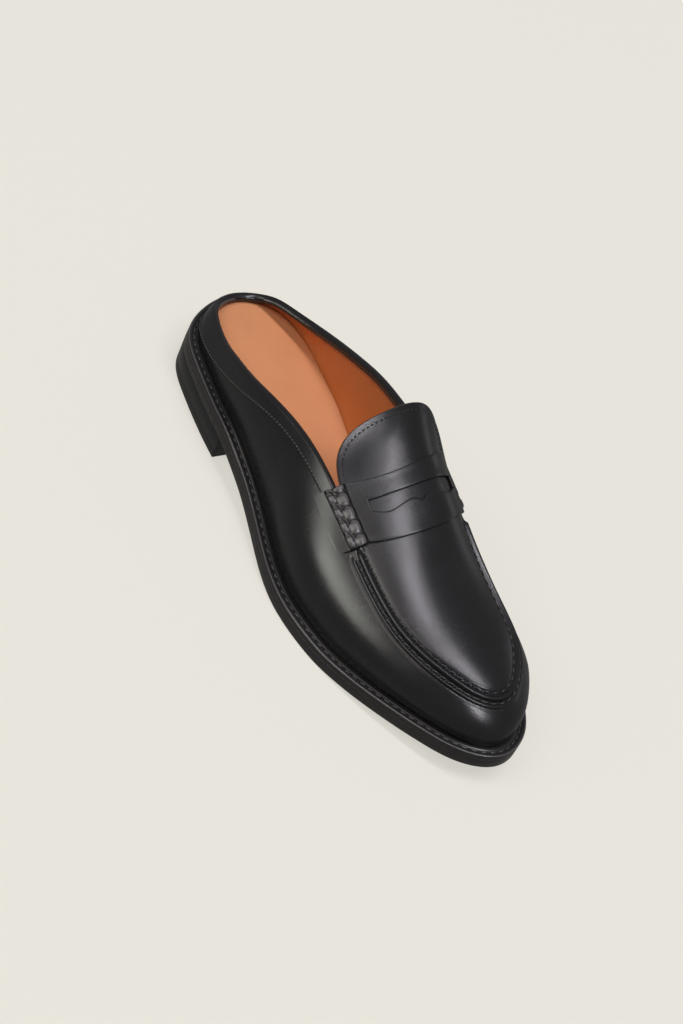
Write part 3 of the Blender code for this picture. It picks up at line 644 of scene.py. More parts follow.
def apply(piece: bpy.types.Object, kind: str, **settings: object) -> None:
    """Adds a modifier and applies it.

    Args:
        piece: The mesh.
        kind: Blender's name for the modifier.
        settings: The modifier's own properties.
    """
    only(piece)
    modifier = piece.modifiers.new(kind.lower(), kind)
    for key, value in settings.items():
        setattr(modifier, key, value)
    bpy.ops.object.modifier_apply(modifier=modifier.name)


def thicken(piece: bpy.types.Object, thickness: float, inner_slot: int = 0) -> None:
    """Gives an open sheet its thickness on the side away from its normals.

    Args:
        piece: The sheet.
        thickness: How thick it becomes.
        inner_slot: The material slot of its inner face.
    """
    apply(
        piece, "SOLIDIFY", thickness=thickness, offset=-1.0, use_rim=True,
        material_offset=inner_slot, material_offset_rim=0,
    )


def round_edges(piece: bpy.types.Object, width: float, angle: float = 40, segments: int = 3) -> None:
    """Bevels a piece's sharper edges.

    Args:
        piece: The mesh.
        width: The bevel's width.
        angle: Edges sharper than this many degrees are bevelled.
        segments: Steps across the bevel.
    """
    apply(
        piece, "BEVEL", width=width, segments=segments, limit_method="ANGLE",
        angle_limit=math.radians(angle), use_clamp_overlap=True,
    )


def finish(piece: bpy.types.Object, materials: Sequence[bpy.types.Material], slot: str,
           *nodes: str, angle: float = 50) -> bpy.types.Object:
    """Shades a piece, gives it its materials and ties it to the frame.

    Args:
        piece: The mesh.
        materials: Its materials in slot order.
        slot: Not used.
        nodes: CAD nodes that the piece stands for.
        angle: Edges sharper than this many degrees stay crisp.

    Returns:
        The piece.
    """
    only(piece)
    bpy.ops.object.shade_smooth_by_angle(angle=math.radians(angle))
    for material in materials:
        if material.name not in piece.data.materials:
            piece.data.materials.append(material)
    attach(piece, BODY)
    if nodes:
        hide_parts(*nodes)
    log.info("%s: %d faces", piece.name, len(piece.data.polygons))
    return piece


class Run(NamedTuple):
    """Even stops along a line: points, directions and surface normals."""

    points: Array
    along: Array
    normals: Array


def even_run(path: Array, normals: Array, pitch: float) -> Run:
    """Stops at an even pitch along a line on a surface.

    Args:
        path: Points of the line.
        normals: The surface's normal at each.
        pitch: Distance from one stop to the next.

    Returns:
        The stops.
    """
    step = np.linalg.norm(np.diff(path, axis=0), axis=1)
    reach = np.concatenate([[0], np.cumsum(step)])
    count = max(int(reach[-1] / pitch), 1)
    at = (np.arange(count) + 0.5) * reach[-1] / count

    def read(values: Array, where: Array) -> Array:
        """Values at distances along the line."""
        return np.stack([np.interp(where, reach, values[:, c]) for c in range(3)], axis=1)

    near = 0.2 * pitch
    along = unit(read(path, at + near) - read(path, at - near))
    return Run(read(path, at), along, unit(read(normals, at)))


@dataclass(frozen=True)
class Stitch:
    """One stitch of thread, or the hole it goes into, as an ellipsoid half sunk in the leather."""

    length: float
    width: float
    height: float
    sunk: float = 0.0
    lean: float = 0.0

    def sew(self, name: str, runs: Sequence[Run], centre: Array) -> bpy.types.Object:
        """Models one stitch and copies it to every stop.

        Args:
            name: The piece's name.
            runs: Stops to sew at.
            centre: What takes the last's frame to the row's.

        Returns:
            All the stitches as one piece.
        """
        deselect()
        bpy.ops.mesh.primitive_uv_sphere_add(segments=8, ring_count=5, radius=0.5)
        one = bpy.context.object
        one.name = name
        pattern = np.array([v.co for v in one.data.vertices])[:, [2, 0, 1]]
        pattern = pattern * (self.length, self.width, self.height)
        faces = [tuple(face.vertices) for face in one.data.polygons]
        points, all_faces = [], []
        for run in runs:
            across = unit(np.cross(run.normals, run.along))
            along = unit(run.along + across * self.lean)
            across = unit(np.cross(run.normals, along))
            for place, a, b, n in zip(run.points, along, across, run.normals):
                first = len(points) * len(pattern)
                points.append(place - n * self.sunk + pattern @ np.array([a, b, n]))
                all_faces += [tuple(i + first for i in face) for face in faces]
        mesh = bpy.data.meshes.new(name)
        mesh.from_pydata((np.vstack(points) - centre).tolist(), [], all_faces)
        old = one.data
        one.data = mesh
        bpy.data.meshes.remove(old)
        return one


def add_node(tree: bpy.types.NodeTree, kind: str, inputs: dict | None = None,
             **settings: object) -> bpy.types.Node:
    """Adds a node with its settings and links.

    Args:
        tree: The material's node tree.
        kind: Blender's name for the node.
        inputs: Values by input name; a socket is linked, anything else is set.
        settings: The node's own properties.

    Returns:
        The node.
    """
    node = tree.nodes.new(kind)
    for key, value in settings.items():
        setattr(node, key, value)
    for key, value in (inputs or {}).items():
        if isinstance(value, bpy.types.NodeSocket):
            tree.links.new(value, node.inputs[key])
        else:
            node.inputs[key].default_value = value
    return node


def linear(colour: str) -> tuple[float, float, float, float]:
    """A hex sRGB colour such as #1b1a1c as linear values."""
    shares = [int(colour[i : i + 2], 16) / 255 for i in (1, 3, 5)]
    return (*[s / 12.92 if s <= 0.04045 else ((s + 0.055) / 1.055) ** 2.4 for s in shares], 1.0)


def per_metre(size_mm: float) -> float:
    """A texture scale on Object coordinates whose features are about this many millimetres."""
    return 1 / (size_mm * MM)


@dataclass(frozen=True)
class Finish:
    """What every finish has: a name, two close tones and a roughness."""

    name: str
    dark: str
    light: str
    roughness: float

    def start(self) -> tuple:
        """Begins a material.

        Returns:
            The material, its node tree, its shader and the object's own coordinates.
        """
        material = bpy.data.materials.new(self.name)
        material.use_nodes = True
        tree = material.node_tree
        place = add_node(tree, "ShaderNodeTexCoord").outputs["Object"]
        return material, tree, tree.nodes["Principled BSDF"], place

    def mix_tones(self, tree: bpy.types.NodeTree, shader: bpy.types.Node,
                  share: bpy.types.NodeSocket) -> None:
        """Colours the shader with the dark and the light tone.

        Args:
            tree: The material's node tree.
            shader: Its shader.
            share: The pattern that mixes them, 0 for dark and 1 for light.
        """
        tones = {"Factor": share, "A": linear(self.dark), "B": linear(self.light)}
        tone = add_node(tree, "ShaderNodeMix", tones, data_type="RGBA")
        tree.links.new(tone.outputs["Result"], shader.inputs["Base Color"])


@dataclass(frozen=True)
class Leather(Finish):
    """Aniline or finished calf: a fine pore grain over soft, cloudy tone and gloss.

    The pores are drawn near their real size. The clouds are where a hand has burnished the hide,
    and the swells are the soft unevenness of a pulled skin.
    """

    grain_mm: float = 0.7
    grain_depth: float = 0.05
    cloud_mm: float = 22.0
    gloss_range: float = 0.03
    swell_mm: float = 6.0
    swell_height: float = 0.5 * MM
    swell_depth: float = 0.25
    specular: float = 0.5

    def material(self) -> bpy.types.Material:
        """Builds the finish.

        Returns:
            The material.
        """
        material, tree, shader, place = self.start()
        clouds = add_node(
            tree, "ShaderNodeTexNoise",
            {"Vector": place, "Scale": per_metre(self.cloud_mm), "Detail": 4.0, "Roughness": 0.55},
        ).outputs["Fac"]
        self.mix_tones(tree, shader, clouds)
        gloss = add_node(
            tree, "ShaderNodeMapRange",
            {"Value": clouds, "From Min": 0.3, "From Max": 0.7,
             "To Min": self.roughness - self.gloss_range, "To Max": self.roughness + self.gloss_range},
        )
        tree.links.new(gloss.outputs["Result"], shader.inputs["Roughness"])
        grain = add_node(
            tree, "ShaderNodeTexVoronoi",
            {"Vector": place, "Scale": per_metre(self.grain_mm), "Randomness": 1.0},
            feature="DISTANCE_TO_EDGE",
        )
        pores = add_node(
            tree, "ShaderNodeMapRange",
            {"Value": grain.outputs["Distance"], "From Max": 0.35},
        )
        swell = add_node(
            tree, "ShaderNodeTexNoise",
            {"Vector": place, "Scale": per_metre(self.swell_mm), "Detail": 3.0, "Roughness": 0.5},
        )
        soft = add_node(
            tree, "ShaderNodeBump",
            {"Height": swell.outputs["Fac"], "Strength": self.swell_depth, "Distance": self.swell_height},
        )
        fine = add_node(
            tree, "ShaderNodeBump",
            {"Height": pores.outputs["Result"], "Strength": 1.0, "Distance": self.grain_depth * MM,
             "Normal": soft.outputs["Normal"]},
        )
        tree.links.new(fine.outputs["Normal"], shader.inputs["Normal"])
        shader.inputs["IOR"].default_value = 1.5
        shader.inputs["Specular IOR Level"].default_value = self.specular
        return material


@dataclass(frozen=True)
class Plain(Finish):
    """Thread, rubber or paper: one tone broken by a fine noise."""

    grain_mm: float = 0.5
    depth: float = 0.05
    detail: float = 2.0
    squeeze: tuple[float, float, float] = (1.0, 1.0, 1.0)
    specular: float = 0.5

    def material(self) -> bpy.types.Material:
        """Builds the finish.

        Returns:
            The material.
        """
        material, tree, shader, place = self.start()
        laid = add_node(tree, "ShaderNodeMapping", {"Vector": place, "Scale": self.squeeze})
        noise = add_node(
            tree, "ShaderNodeTexNoise",
            {"Vector": laid.outputs["Vector"], "Scale": per_metre(self.grain_mm), "Detail": self.detail},
        ).outputs["Fac"]
        self.mix_tones(tree, shader, noise)
        bump = add_node(
            tree, "ShaderNodeBump",
            {"Height": noise, "Strength": 1.0, "Distance": self.depth * MM},
        )
        tree.links.new(bump.outputs["Normal"], shader.inputs["Normal"])
        shader.inputs["Roughness"].default_value = self.roughness
        shader.inputs["Specular IOR Level"].default_value = self.specular
        return material


@dataclass(frozen=True)
class WaxedEdge(Plain):
    """Leather edge, ironed with ink and wax: glossy, with faint lines along the layers."""

    detail: float = 3.0
    squeeze: tuple[float, float, float] = (0.12, 0.12, 1.0)
    specular: float = 0.35


@dataclass
class Finishes:
    """Every finish of the shoe, each built once."""

    calf: bpy.types.Material = field(init=False)
    lining: bpy.types.Material = field(init=False)
    sock: bpy.types.Material = field(init=False)
    edge: bpy.types.Material = field(init=False)
    painted_highlight: bpy.types.Material = field(init=False)
    heel: bpy.types.Material = field(init=False)
    rubber: bpy.types.Material = field(init=False)
    thread: bpy.types.Material = field(init=False)
    fine_thread: bpy.types.Material = field(init=False)
    hole: bpy.types.Material = field(init=False)
    tan_thread: bpy.types.Material = field(init=False)

    def __post_init__(self) -> None:
        """Builds the materials."""
        # Box calf, aniline black and brushed: near-black, a broad soft sheen
        self.calf = Leather("black_box_calf", "#19181a", "#201f21", 0.26,
                            grain_depth=0.015, swell_depth=0.08, specular=0.35).material()
        # Vegetable-tanned calf lining: warm orange brown, drier and rougher than the sock
        self.lining = Leather("tan_calf_lining", "#c56f38", "#d6824a", 0.55, 0.6, 0.03,
                              specular=0.3).material()
        # Vegetable-tanned sock: pale terracotta with a soft nap
        self.sock = Leather("tan_leather_sock", "#c4825a", "#d49366", 0.5, 0.5, 0.03, 30.0,
                            specular=0.3).material()
        # Welt and sole edge: ironed with black ink and wax
        self.edge = WaxedEdge("black_waxed_edge", "#232223", "#2b2a2b", 0.3, 1.6, 0.012).material()
        # Painted highlight: a paler tone for the welt's top edge, the collar rim's lateral half and the
        # tops of the rolls' lobes, where light catches them
        self.painted_highlight = WaxedEdge("painted_edge_highlight", "#454445", "#575657", 0.32, 1.6, 0.012).material()
        # Stacked heel: wide layers under the same ink, so that their joints barely show
        self.heel = WaxedEdge("black_stacked_heel", "#171618", "#1d1c1e", 0.28, 3.5, 0.015).material()
        # Moulded rubber lift, matt beside the waxed leather
        self.rubber = Plain("black_rubber_lift", "#171617", "#1d1c1d", 0.35, 0.4, 0.02).material()
        # Waxed linen thread, blackened
        self.thread = Plain("black_waxed_thread", "#1e1d1f", "#3a393c", 0.45, 0.3, 0.05).material()
        # Fine silk thread, painted grey for the highlight that it catches
        self.fine_thread = Plain("silk_thread_painted_sheen", "#3d403e", "#565a57", 0.5, 0.3, 0.04).material()
        # The inside of a needle hole, with no light in it
        self.hole = Plain("needle_hole_shadow", "#060606", "#0a0a0a", 0.8, 0.5, 0.02).material()
        # Waxed thread in the lining's own colour
        self.tan_thread = Plain("tan_waxed_thread", "#6b2f17", "#8a4526", 0.6, 0.3, 0.05).material()


@dataclass
class SoleUnit:
    """Heel, outsole, welt and insole, stacked from the floor up."""

    last: Last
    finishes: Finishes
    columns: int = 360
    heel_length: float = 83 * MM
    heel_taper: float = 0.6 * MM
    heel_points: int = 90
    breast_steps: int = 24
    heel_round: float = 0.06 * MM
    top_lift: float = 5 * MM
    edge_round: float = 0.9 * MM
    foot_round: float = 0.05 * MM
    joint: float = 0.1 * MM
    highlight_rows: tuple[int, int] = (9, 11)
    channel_at: float = 3.1 * MM
    channel_width: float = 1.5 * MM
    channel_depth: float = 0.55 * MM
    welt_pitch: float = 4.8 * MM
    wall: float = 1.8 * MM
    insole_step: float = 2.6 * MM
    sock_clearance: float = 0.35 * MM
    # Distance inside the wall and drop below the sock's highest line, in millimetres
    sock_edge: tuple[tuple[float, float], ...] = (
        (0.05, 0.35), (0.35, 0.1), (0.9, 0.0), (2.0, 0.1), (5.0, 0.35),
    )

    def places(self) -> Array:
        """Places round the shoe for one ring of columns, closed."""
        return spread(np.linspace(0, 2, self.columns + 1))

    def toward_middle(self, ring: Array, share: float) -> Array:
        """A ring drawn in towards the shoe's middle line at the same places along it.

        Args:
            ring: A closed ring that starts and ends at the heel.
            share: How much of its width is kept.

        Returns:
            The drawn ring.
        """
        middle = (ring[:, 0] + ring[::-1, 0]) / 2
        drawn = ring.copy()
        drawn[:, 0] = middle + (ring[:, 0] - middle) * share
        return drawn

    def capped(self, rings: list[Array]) -> Array:
        """Rings closed over the bottom and the top.

        Args:
            rings: Rings from the lowest to the highest.

        Returns:
            The rings, with further ones drawn in to the middle line at both ends.
        """
        shares = (0.0, 0.35, 0.7, 0.93)
        low = [self.toward_middle(rings[0], s) for s in shares]
        high = [self.toward_middle(rings[-1], s) for s in shares[::-1]]
        return np.array(low + rings + high)

    def rim(self, low: float, high: float, round_low: float, round_high: float) -> list[Array]:
        """Rings up the sole's edge.

        Args:
            low: Height of the edge's lower end.
            high: Height of its upper end.
            round_low: Radius below.
            round_high: Radius above.

        Returns:
            The rings from the bottom up.
        """
        turns = np.linspace(0, math.pi / 2, 6)
        steps = [(round_low * (1 - math.sin(a)), low + round_low * (1 - math.cos(a))) for a in turns]
        steps += [(round_high * (1 - math.cos(a)), high - round_high * (1 - math.sin(a))) for a in turns]
        last, places = self.last, self.places()
        return [last.ring(last.sole_curve, inward, places, level) for inward, level in steps]

    def outsole(self) -> None:
        """Leather outsole with its lower edge rounded and its upper one met by the welt."""
        top = self.last.outsole + self.last.seat_gap / 2
        rings = self.rim(0.0, top, self.foot_round, self.joint)
        piece = loft("outsole_leather", self.capped(rings), self.last.centre)
        weld(piece)
        finish(piece, [self.finishes.edge], "black_edge", "outsole")

    def welt(self) -> None:
        """Welt strip with a rounded rim and a stitch channel along its middle."""
        last, places = self.last, self.places()
        bottom = last.outsole + last.seat_gap / 2
        top = last.welt_bottom + last.welt
        inner = inset(last.feather, self.wall)
        rings = [last.on_sole(read_round(inner, places), bottom)]
        rings += self.rim(bottom, top, self.joint, self.edge_round)
        across = np.linspace(self.edge_round, last.welt_width + 0.4 * MM, 22)[1:]
        for distance in across:
            aside = (distance - self.channel_at) / self.channel_width
            dip = self.channel_depth * math.exp(-(aside**4) * 3)
            rings.append(last.ring(last.sole_curve, distance, places, top - dip))
        rings.append(last.on_sole(read_round(inner, places), top))
        rings.append(rings[0])
        piece = loft("welt_strip", np.array(rings), last.centre)
        # Painted highlight: a paler band along the welt's rounded top edge
        first, final = self.highlight_rows
        for face in piece.data.polygons[first * self.columns : final * self.columns]:
            face.material_index = 1
        weld(piece)
        finish(piece, [self.finishes.edge, self.finishes.painted_highlight], "black_edge", "welt")
        self.welt_stitches(top)

    def welt_stitches(self, top: float) -> None:
        """Thread and needle holes in the welt's channel.

        Args:
            top: Height of the welt's top over the sole's underside.
        """
        last = self.last
        line = last.ring(last.sole_curve, self.channel_at, spread(np.linspace(0, 2, 1500)), top)
        up = np.tile([0.0, 0.0, 1.0], (len(line), 1))
        run = even_run(line, up, self.welt_pitch)
        thread = Stitch(self.welt_pitch * 0.74, 1.15 * MM, 0.9 * MM, sunk=0.38 * MM, lean=0.12)
        finish(thread.sew("welt_thread", [run], last.centre), [self.finishes.thread], "black_edge")
        shift = np.roll(np.arange(len(run.points)), -1)
        between = Run((run.points + run.points[shift]) / 2, run.along, run.normals)
        hole = Stitch(0.9 * MM, 1.0 * MM, 0.6 * MM, sunk=0.42 * MM)
        finish(hole.sew("welt_needle_holes", [between], last.centre), [self.finishes.hole], "black_edge")

    def heel_ring(self, distance: float) -> Array:
        """The heel's plan, cut off at the breast.

        Args:
            distance: How far it lies inside the sole's outline.

        Returns:
            Points up the lateral side, over the breast and back down the medial side.
        """
        lateral, medial = branches(inset(self.last.sole_curve, distance))
        share = 1 - np.cos(np.linspace(0, math.pi / 2, self.heel_points))
        y = lateral[0, 1] + (self.heel_length - lateral[0, 1]) * share
        left, right = read_branch(lateral, y), read_branch(medial, y)
        breast = np.linspace(left[-1], right[-1], self.breast_steps + 1)[1:-1]
        return np.vstack([left, breast, right[::-1]])

    def heel_layer(self, name: str, rows: list[tuple[float, Callable | float]],
                   material: bpy.types.Material, slot: str, node: str) -> None:
        """One layer of the heel.

        Args:
            name: The piece's name.
            rows: Inset and height of its lower and upper face; a height may depend on y.
            material: Its finish.
            slot: Passed on to finish, which does not use it.
            node: The CAD node that it stands for.
        """
        rings = []
        for distance, height in rows:
            plan = self.heel_ring(distance)
            level = height(plan[:, 1]) if callable(height) else np.full(len(plan), height)
            rings.append(np.column_stack([plan, level]))
        low, high = rings[0], rings[-1]
        closed = []
        for share, ring in ((0.0, low), (0.6, low), (1.0, low), (1.0, high), (0.6, high), (0.0, high)):
            lateral, medial = ring[: self.heel_points], ring[::-1][: self.heel_points]
            middle = np.interp(ring[:, 1], lateral[:, 1], (lateral[:, 0] + medial[:, 0]) / 2)
            drawn = ring.copy()
            drawn[:, 0] = middle + (ring[:, 0] - middle) * share
            closed.append(drawn)
        piece = loft(name, np.array(closed), self.last.centre)
        weld(piece)
        round_edges(piece, self.heel_round)
        finish(piece, [material], slot, node)

    def heel(self) -> None:
        """Rubber top lift on the floor and the stacked block over it."""
        last = self.last

        def draw(height: float) -> float:
            """How far the heel is drawn in at a height."""
            return self.heel_taper * (1 - height / last.heel_height)

        split = self.top_lift + last.seat_gap / 2
        self.heel_layer(
            "rubber_top_lift", [(draw(0), 0.0), (draw(split), split - 0.02 * MM)],
            self.finishes.rubber, "black_rubber", "heel_top_lift",
        )
        self.heel_layer(
            "stacked_heel_block",
            [(draw(split), split), (0.0, lambda y: last.sole_bottom(y) - self.joint)],
            self.finishes.heel, "black_edge", "heel_block",
        )

    def insole(self) -> None:
        """Insole with its sock, slightly dished and rounded at the edge."""
        last, places = self.last, self.places()

        def inside(above: float, extra: float = 0.0) -> Array:
            """A ring inside the upper's wall, at a height above its foot."""
            face, out = last.wall(places, lambda length: (length - above)[None, :])
            return face[0] - out[0] * (self.wall + self.sock_clearance + extra)

        step = self.insole_step
        foot = last.upper_bottom
        drawn_in = self.wall + self.sock_clearance
        rings = [last.ring(last.feather, drawn_in, places, last.outsole + last.seat_gap)]
        rings += [last.on_sole(inside(step * share), foot + step * share) for share in (0.0, 0.6)]
        for extra, drop in self.sock_edge:
            rings.append(last.on_sole(inside(step, extra * MM), foot + step - drop * MM))
        piece = loft("insole_with_sock", self.capped(rings), last.centre)
        weld(piece)
        finish(piece, [self.finishes.sock], "tan_sock", "insole")

    def build(self) -> None:
        """Makes every piece of the sole unit."""
        self.heel()
        self.outsole()
        self.welt()
        self.insole()


@dataclass
class Upper:
    """Side wall and apron in one hollow shell, its raised seam, lining and seam stitches."""

    last: Last
    finishes: Finishes
    side_columns: int = 240
    wall_rows: int = 30
    seam_rows: int = 34
    seam_reach: float = 9 * MM
    seam_wall_share: float = 0.55
    apron_columns: int = 58
    leather: float = 1.1 * MM
    lining_at: float = 1.2 * MM
    lining: float = 0.55 * MM
    lining_behind: float = 1.0 * MM
    seam_starts: float = 189.5 * MM
    medial_starts_before: float = 4 * MM
    seam_run_in: float = 2.5 * MM
    blend: float = 2.6 * MM
    inner_row: float = 1.35 * MM
    outer_row: float = 3.4 * MM
    seam_pitch: float = 4.6 * MM
    outer_fades: float = 18 * MM
    outer_bead: tuple[float, float] = (3.4 * MM, 4.6 * MM)
    inner_sunk: float = 0.25 * MM
    outer_proud: float = 0.45 * MM

    def places(self) -> Array:
        """Places round the shoe, closed."""
        return spread(np.linspace(0, 2, 2 * self.side_columns + 1))

    def distances(self, lengths: Array) -> Array:
        """Rows down the wall: close together over the seam, then even to the welt.

        Args:
            lengths: The wall's length at each place.

        Returns:
            Distances from the top edge, rows by places.
        """
        near = np.linspace(0, 1, self.seam_rows + 1)[:, None]
        reach = np.minimum(self.seam_reach, lengths * self.seam_wall_share)[None, :]
        far = np.linspace(0, 1, self.wall_rows + 1)[1:, None]
        return np.vstack([near * reach, reach + (lengths[None, :] - reach) * far])

    def seam_height(self, distance: Array, y: Array, on_medial: Array) -> Array:
        """Relief of the seam, run in behind the strap and with its outer bead faded round the toe.

        Args:
            distance: Distance from the seam, down the wall or (minus) over the apron.
            y: Place along the shoe.
            on_medial: 1 on the medial side, 0 on the lateral.

        Returns:
            The height at each point.
        """
        height = read_rows(SEAM_RELIEF, "height", distance / MM) * MM
        start = self.seam_starts - self.medial_starts_before * on_medial
        shown = smooth_step((y - start) / self.seam_run_in)
        toe = self.last.edge_lateral[-1, 1]
        first, final = self.outer_bead
        bead = np.clip((distance - first) / (final - first), 0, 1)
        near_toe = 1 - smooth_step((toe - y) / self.outer_fades)
        return height * shown * (1 - bead * near_toe * (0.35 + 0.5 * on_medial))

    def corner(self, edge: Array, wall_normal: Array) -> Array:
        """Direction between the wall's and the apron's normals along the seam.

        Args:
            edge: Points of the top edge.
            wall_normal: The wall's normal at each.

        Returns:
            The directions; at the toe's tip the apron is read a little behind the edge.
        """
        step = 1.5 * MM
        back = np.where(edge[:, 1] > self.last.edge_lateral[-1, 1] - step, step, 0.0)
        top = self.last.instep_normal(edge[:, 0], edge[:, 1] - back)
        return unit(top + wall_normal)

    def wall_sheet(self) -> tuple[Array, Array, Array]:
        """Outer face of the wall with the seam's relief.

        Returns:
            Points with the relief, plain points and the directions of the relief.
        """
        places = self.places()
        face, out = self.last.wall(places, self.distances)
        down = np.linalg.norm(np.diff(face, axis=0), axis=2)
        down = np.vstack([np.zeros(len(places)), np.cumsum(down, axis=0)])
        both = self.corner(face[0], out[0])
        turn = smooth_step(down / self.blend)[:, :, None]
        in_front = smooth_step((face[0, :, 1] - self.last.throat) / (10 * MM))[None, :, None]
        lean = unit(out * turn + both[None] * (1 - turn))
        lean = unit(out * (1 - in_front) + lean * in_front)
        on_medial = (places > 1).astype(float)[None, :]
        height = self.seam_height(down, face[0, :, 1][None, :], on_medial)
        return face + lean * height[:, :, None], face, lean

    def apron_sheet(self, edge: Array, corner: Array, first: int) -> tuple[Array, Array]:
        """Outer face of the apron between the seam's two sides.

        Args:
            edge: Plain points of the top edge, all round.
            corner: The seam's direction at each.
            first: The first column that the apron takes in.

        Returns:
            Points with the seam's relief, and normals.
        """
        last_column = 2 * self.side_columns
        stations = np.arange(first, self.side_columns + 1)
        lateral, medial = edge[stations], edge[last_column - stations]
        share = np.interp(np.linspace(0, 1, self.apron_columns + 1), [0, 0.2, 0.8, 1], [0, 0.07, 0.93, 1])
        plan = crosswise(lateral, medial, share)
        x, y = plan[..., 0], plan[..., 1]
        points = self.last.over_instep(x, y)
        normals = self.last.instep_normal(x, y)
        front = np.arange(first, last_column - first + 1)
        tree = KDTree(len(front))
        for i, column in enumerate(front):
            tree.insert(Vector(edge[column]), i)
        tree.balance()
        found = [tree.find(Vector(p)) for p in points.reshape(-1, 3)]
        gap = np.array([f[2] for f in found]).reshape(x.shape)
        near = front[np.array([f[1] for f in found])].reshape(x.shape)
        gap[:, [0, -1]] = 0.0
        gap[-1] = 0.0
        near[:, 0], near[:, -1] = stations, last_column - stations
        near[-1] = self.side_columns
        turn = smooth_step(gap / self.blend)[..., None]
        lean = unit(normals * turn + corner[near] * (1 - turn))
        height = self.seam_height(-gap, edge[near][..., 1], (near > self.side_columns).astype(float))
        return points + lean * height[..., None], lean

    def build(self) -> None:
        """The outer leather as a hollow shell."""
        sheet, plain, lean = self.wall_sheet()
        first = int(np.searchsorted(plain[0, : self.side_columns, 1], self.last.throat))
        apron, apron_lean = self.apron_sheet(plain[0], lean[0], first)
        wall = loft("upper_shell", sheet, self.last.centre)
        top = loft("apron", apron, self.last.centre)
        only(wall)
        top.select_set(True)
        bpy.ops.object.join()
        weld(wall)
        face_up(wall, Vector((0, 0, 1)))
        thicken(wall, self.leather)
        finish(wall, [self.finishes.calf], "black_calf", "upper", angle=70)
        self.line(plain, first)
        self.stitch()

    def line(self, plain: Array, first: int) -> None:
        """The lining: a second, smooth shell inside the outer leather.

        Args:
            plain: The wall's plain points.
            first: The first column that the apron takes in.
        """
        last, columns = self.last, self.side_columns
        share = np.linspace(0.01, 1, 22)[:, None]
        face, out = last.wall(self.places()[::2], lambda length: share * length[None, :])
        sheet = loft("calf_lining", face - out * self.lining_at, last.centre)
        stations = np.arange(first, columns + 1, 2)
        lateral, medial = plain[0][stations], plain[0][2 * columns - stations]
        share = np.linspace(0.03, 0.97, 25)
        plan = crosswise(lateral, medial, share)
        x, y = plan[..., 0], plan[..., 1] - self.lining_behind
        roof = last.over_instep(x, y) - last.instep_normal(x, y) * self.lining_at
        vamp = loft("calf_vamp_lining", roof, last.centre)
        for piece, away in ((sheet, None), (vamp, Vector((0, 0, 1)))):
            weld(piece)
            if away:
                face_up(piece, away)
            thicken(piece, self.lining)
            finish(piece, [self.finishes.lining], "tan_sock", angle=60)

    def stitch(self) -> None:
        """Two rows of waxed thread, one either side of the seam's ridge."""
        last = self.last
        count = 1200
        places = spread(np.linspace(0, 2, count + 1))
        face, out = last.wall(places, np.outer([0.0, self.outer_row], np.ones(count + 1)))
        y = face[0, :, 1]
        keep = np.where((y > self.seam_starts + 1.5 * MM) & (places > 0.2))[0]
        outer = face[1] + out[1] * self.outer_proud
        outer_run = even_run(outer[keep], out[1][keep], self.seam_pitch)
        tangent = unit(np.gradient(face[0], axis=0))
        inward = unit(np.cross(np.tile([0.0, 0.0, 1.0], (count + 1, 1)), tangent))
        plan = face[0] + inward * self.inner_row
        normals = last.instep_normal(plan[:, 0], plan[:, 1])
        inner = last.over_instep(plan[:, 0], plan[:, 1]) - normals * self.inner_sunk
        inner_run = even_run(inner[keep], normals[keep], self.seam_pitch)
        thread = Stitch(self.seam_pitch * 0.62, 0.85 * MM, 0.7 * MM, sunk=0.1 * MM, lean=0.15)
        finish(thread.sew("apron_seam_thread", [inner_run, outer_run], last.centre),
               [self.finishes.thread], "black_calf")
        holes = []
        for run in (inner_run, outer_run):
            middle = (run.points[1:] + run.points[:-1]) / 2
            holes.append(Run(middle, run.along[1:], run.normals[1:]))
        hole = Stitch(1.3 * MM, 0.9 * MM, 0.5 * MM)
        finish(hole.sew("apron_needle_holes", holes, last.centre), [self.finishes.hole], "black_calf")


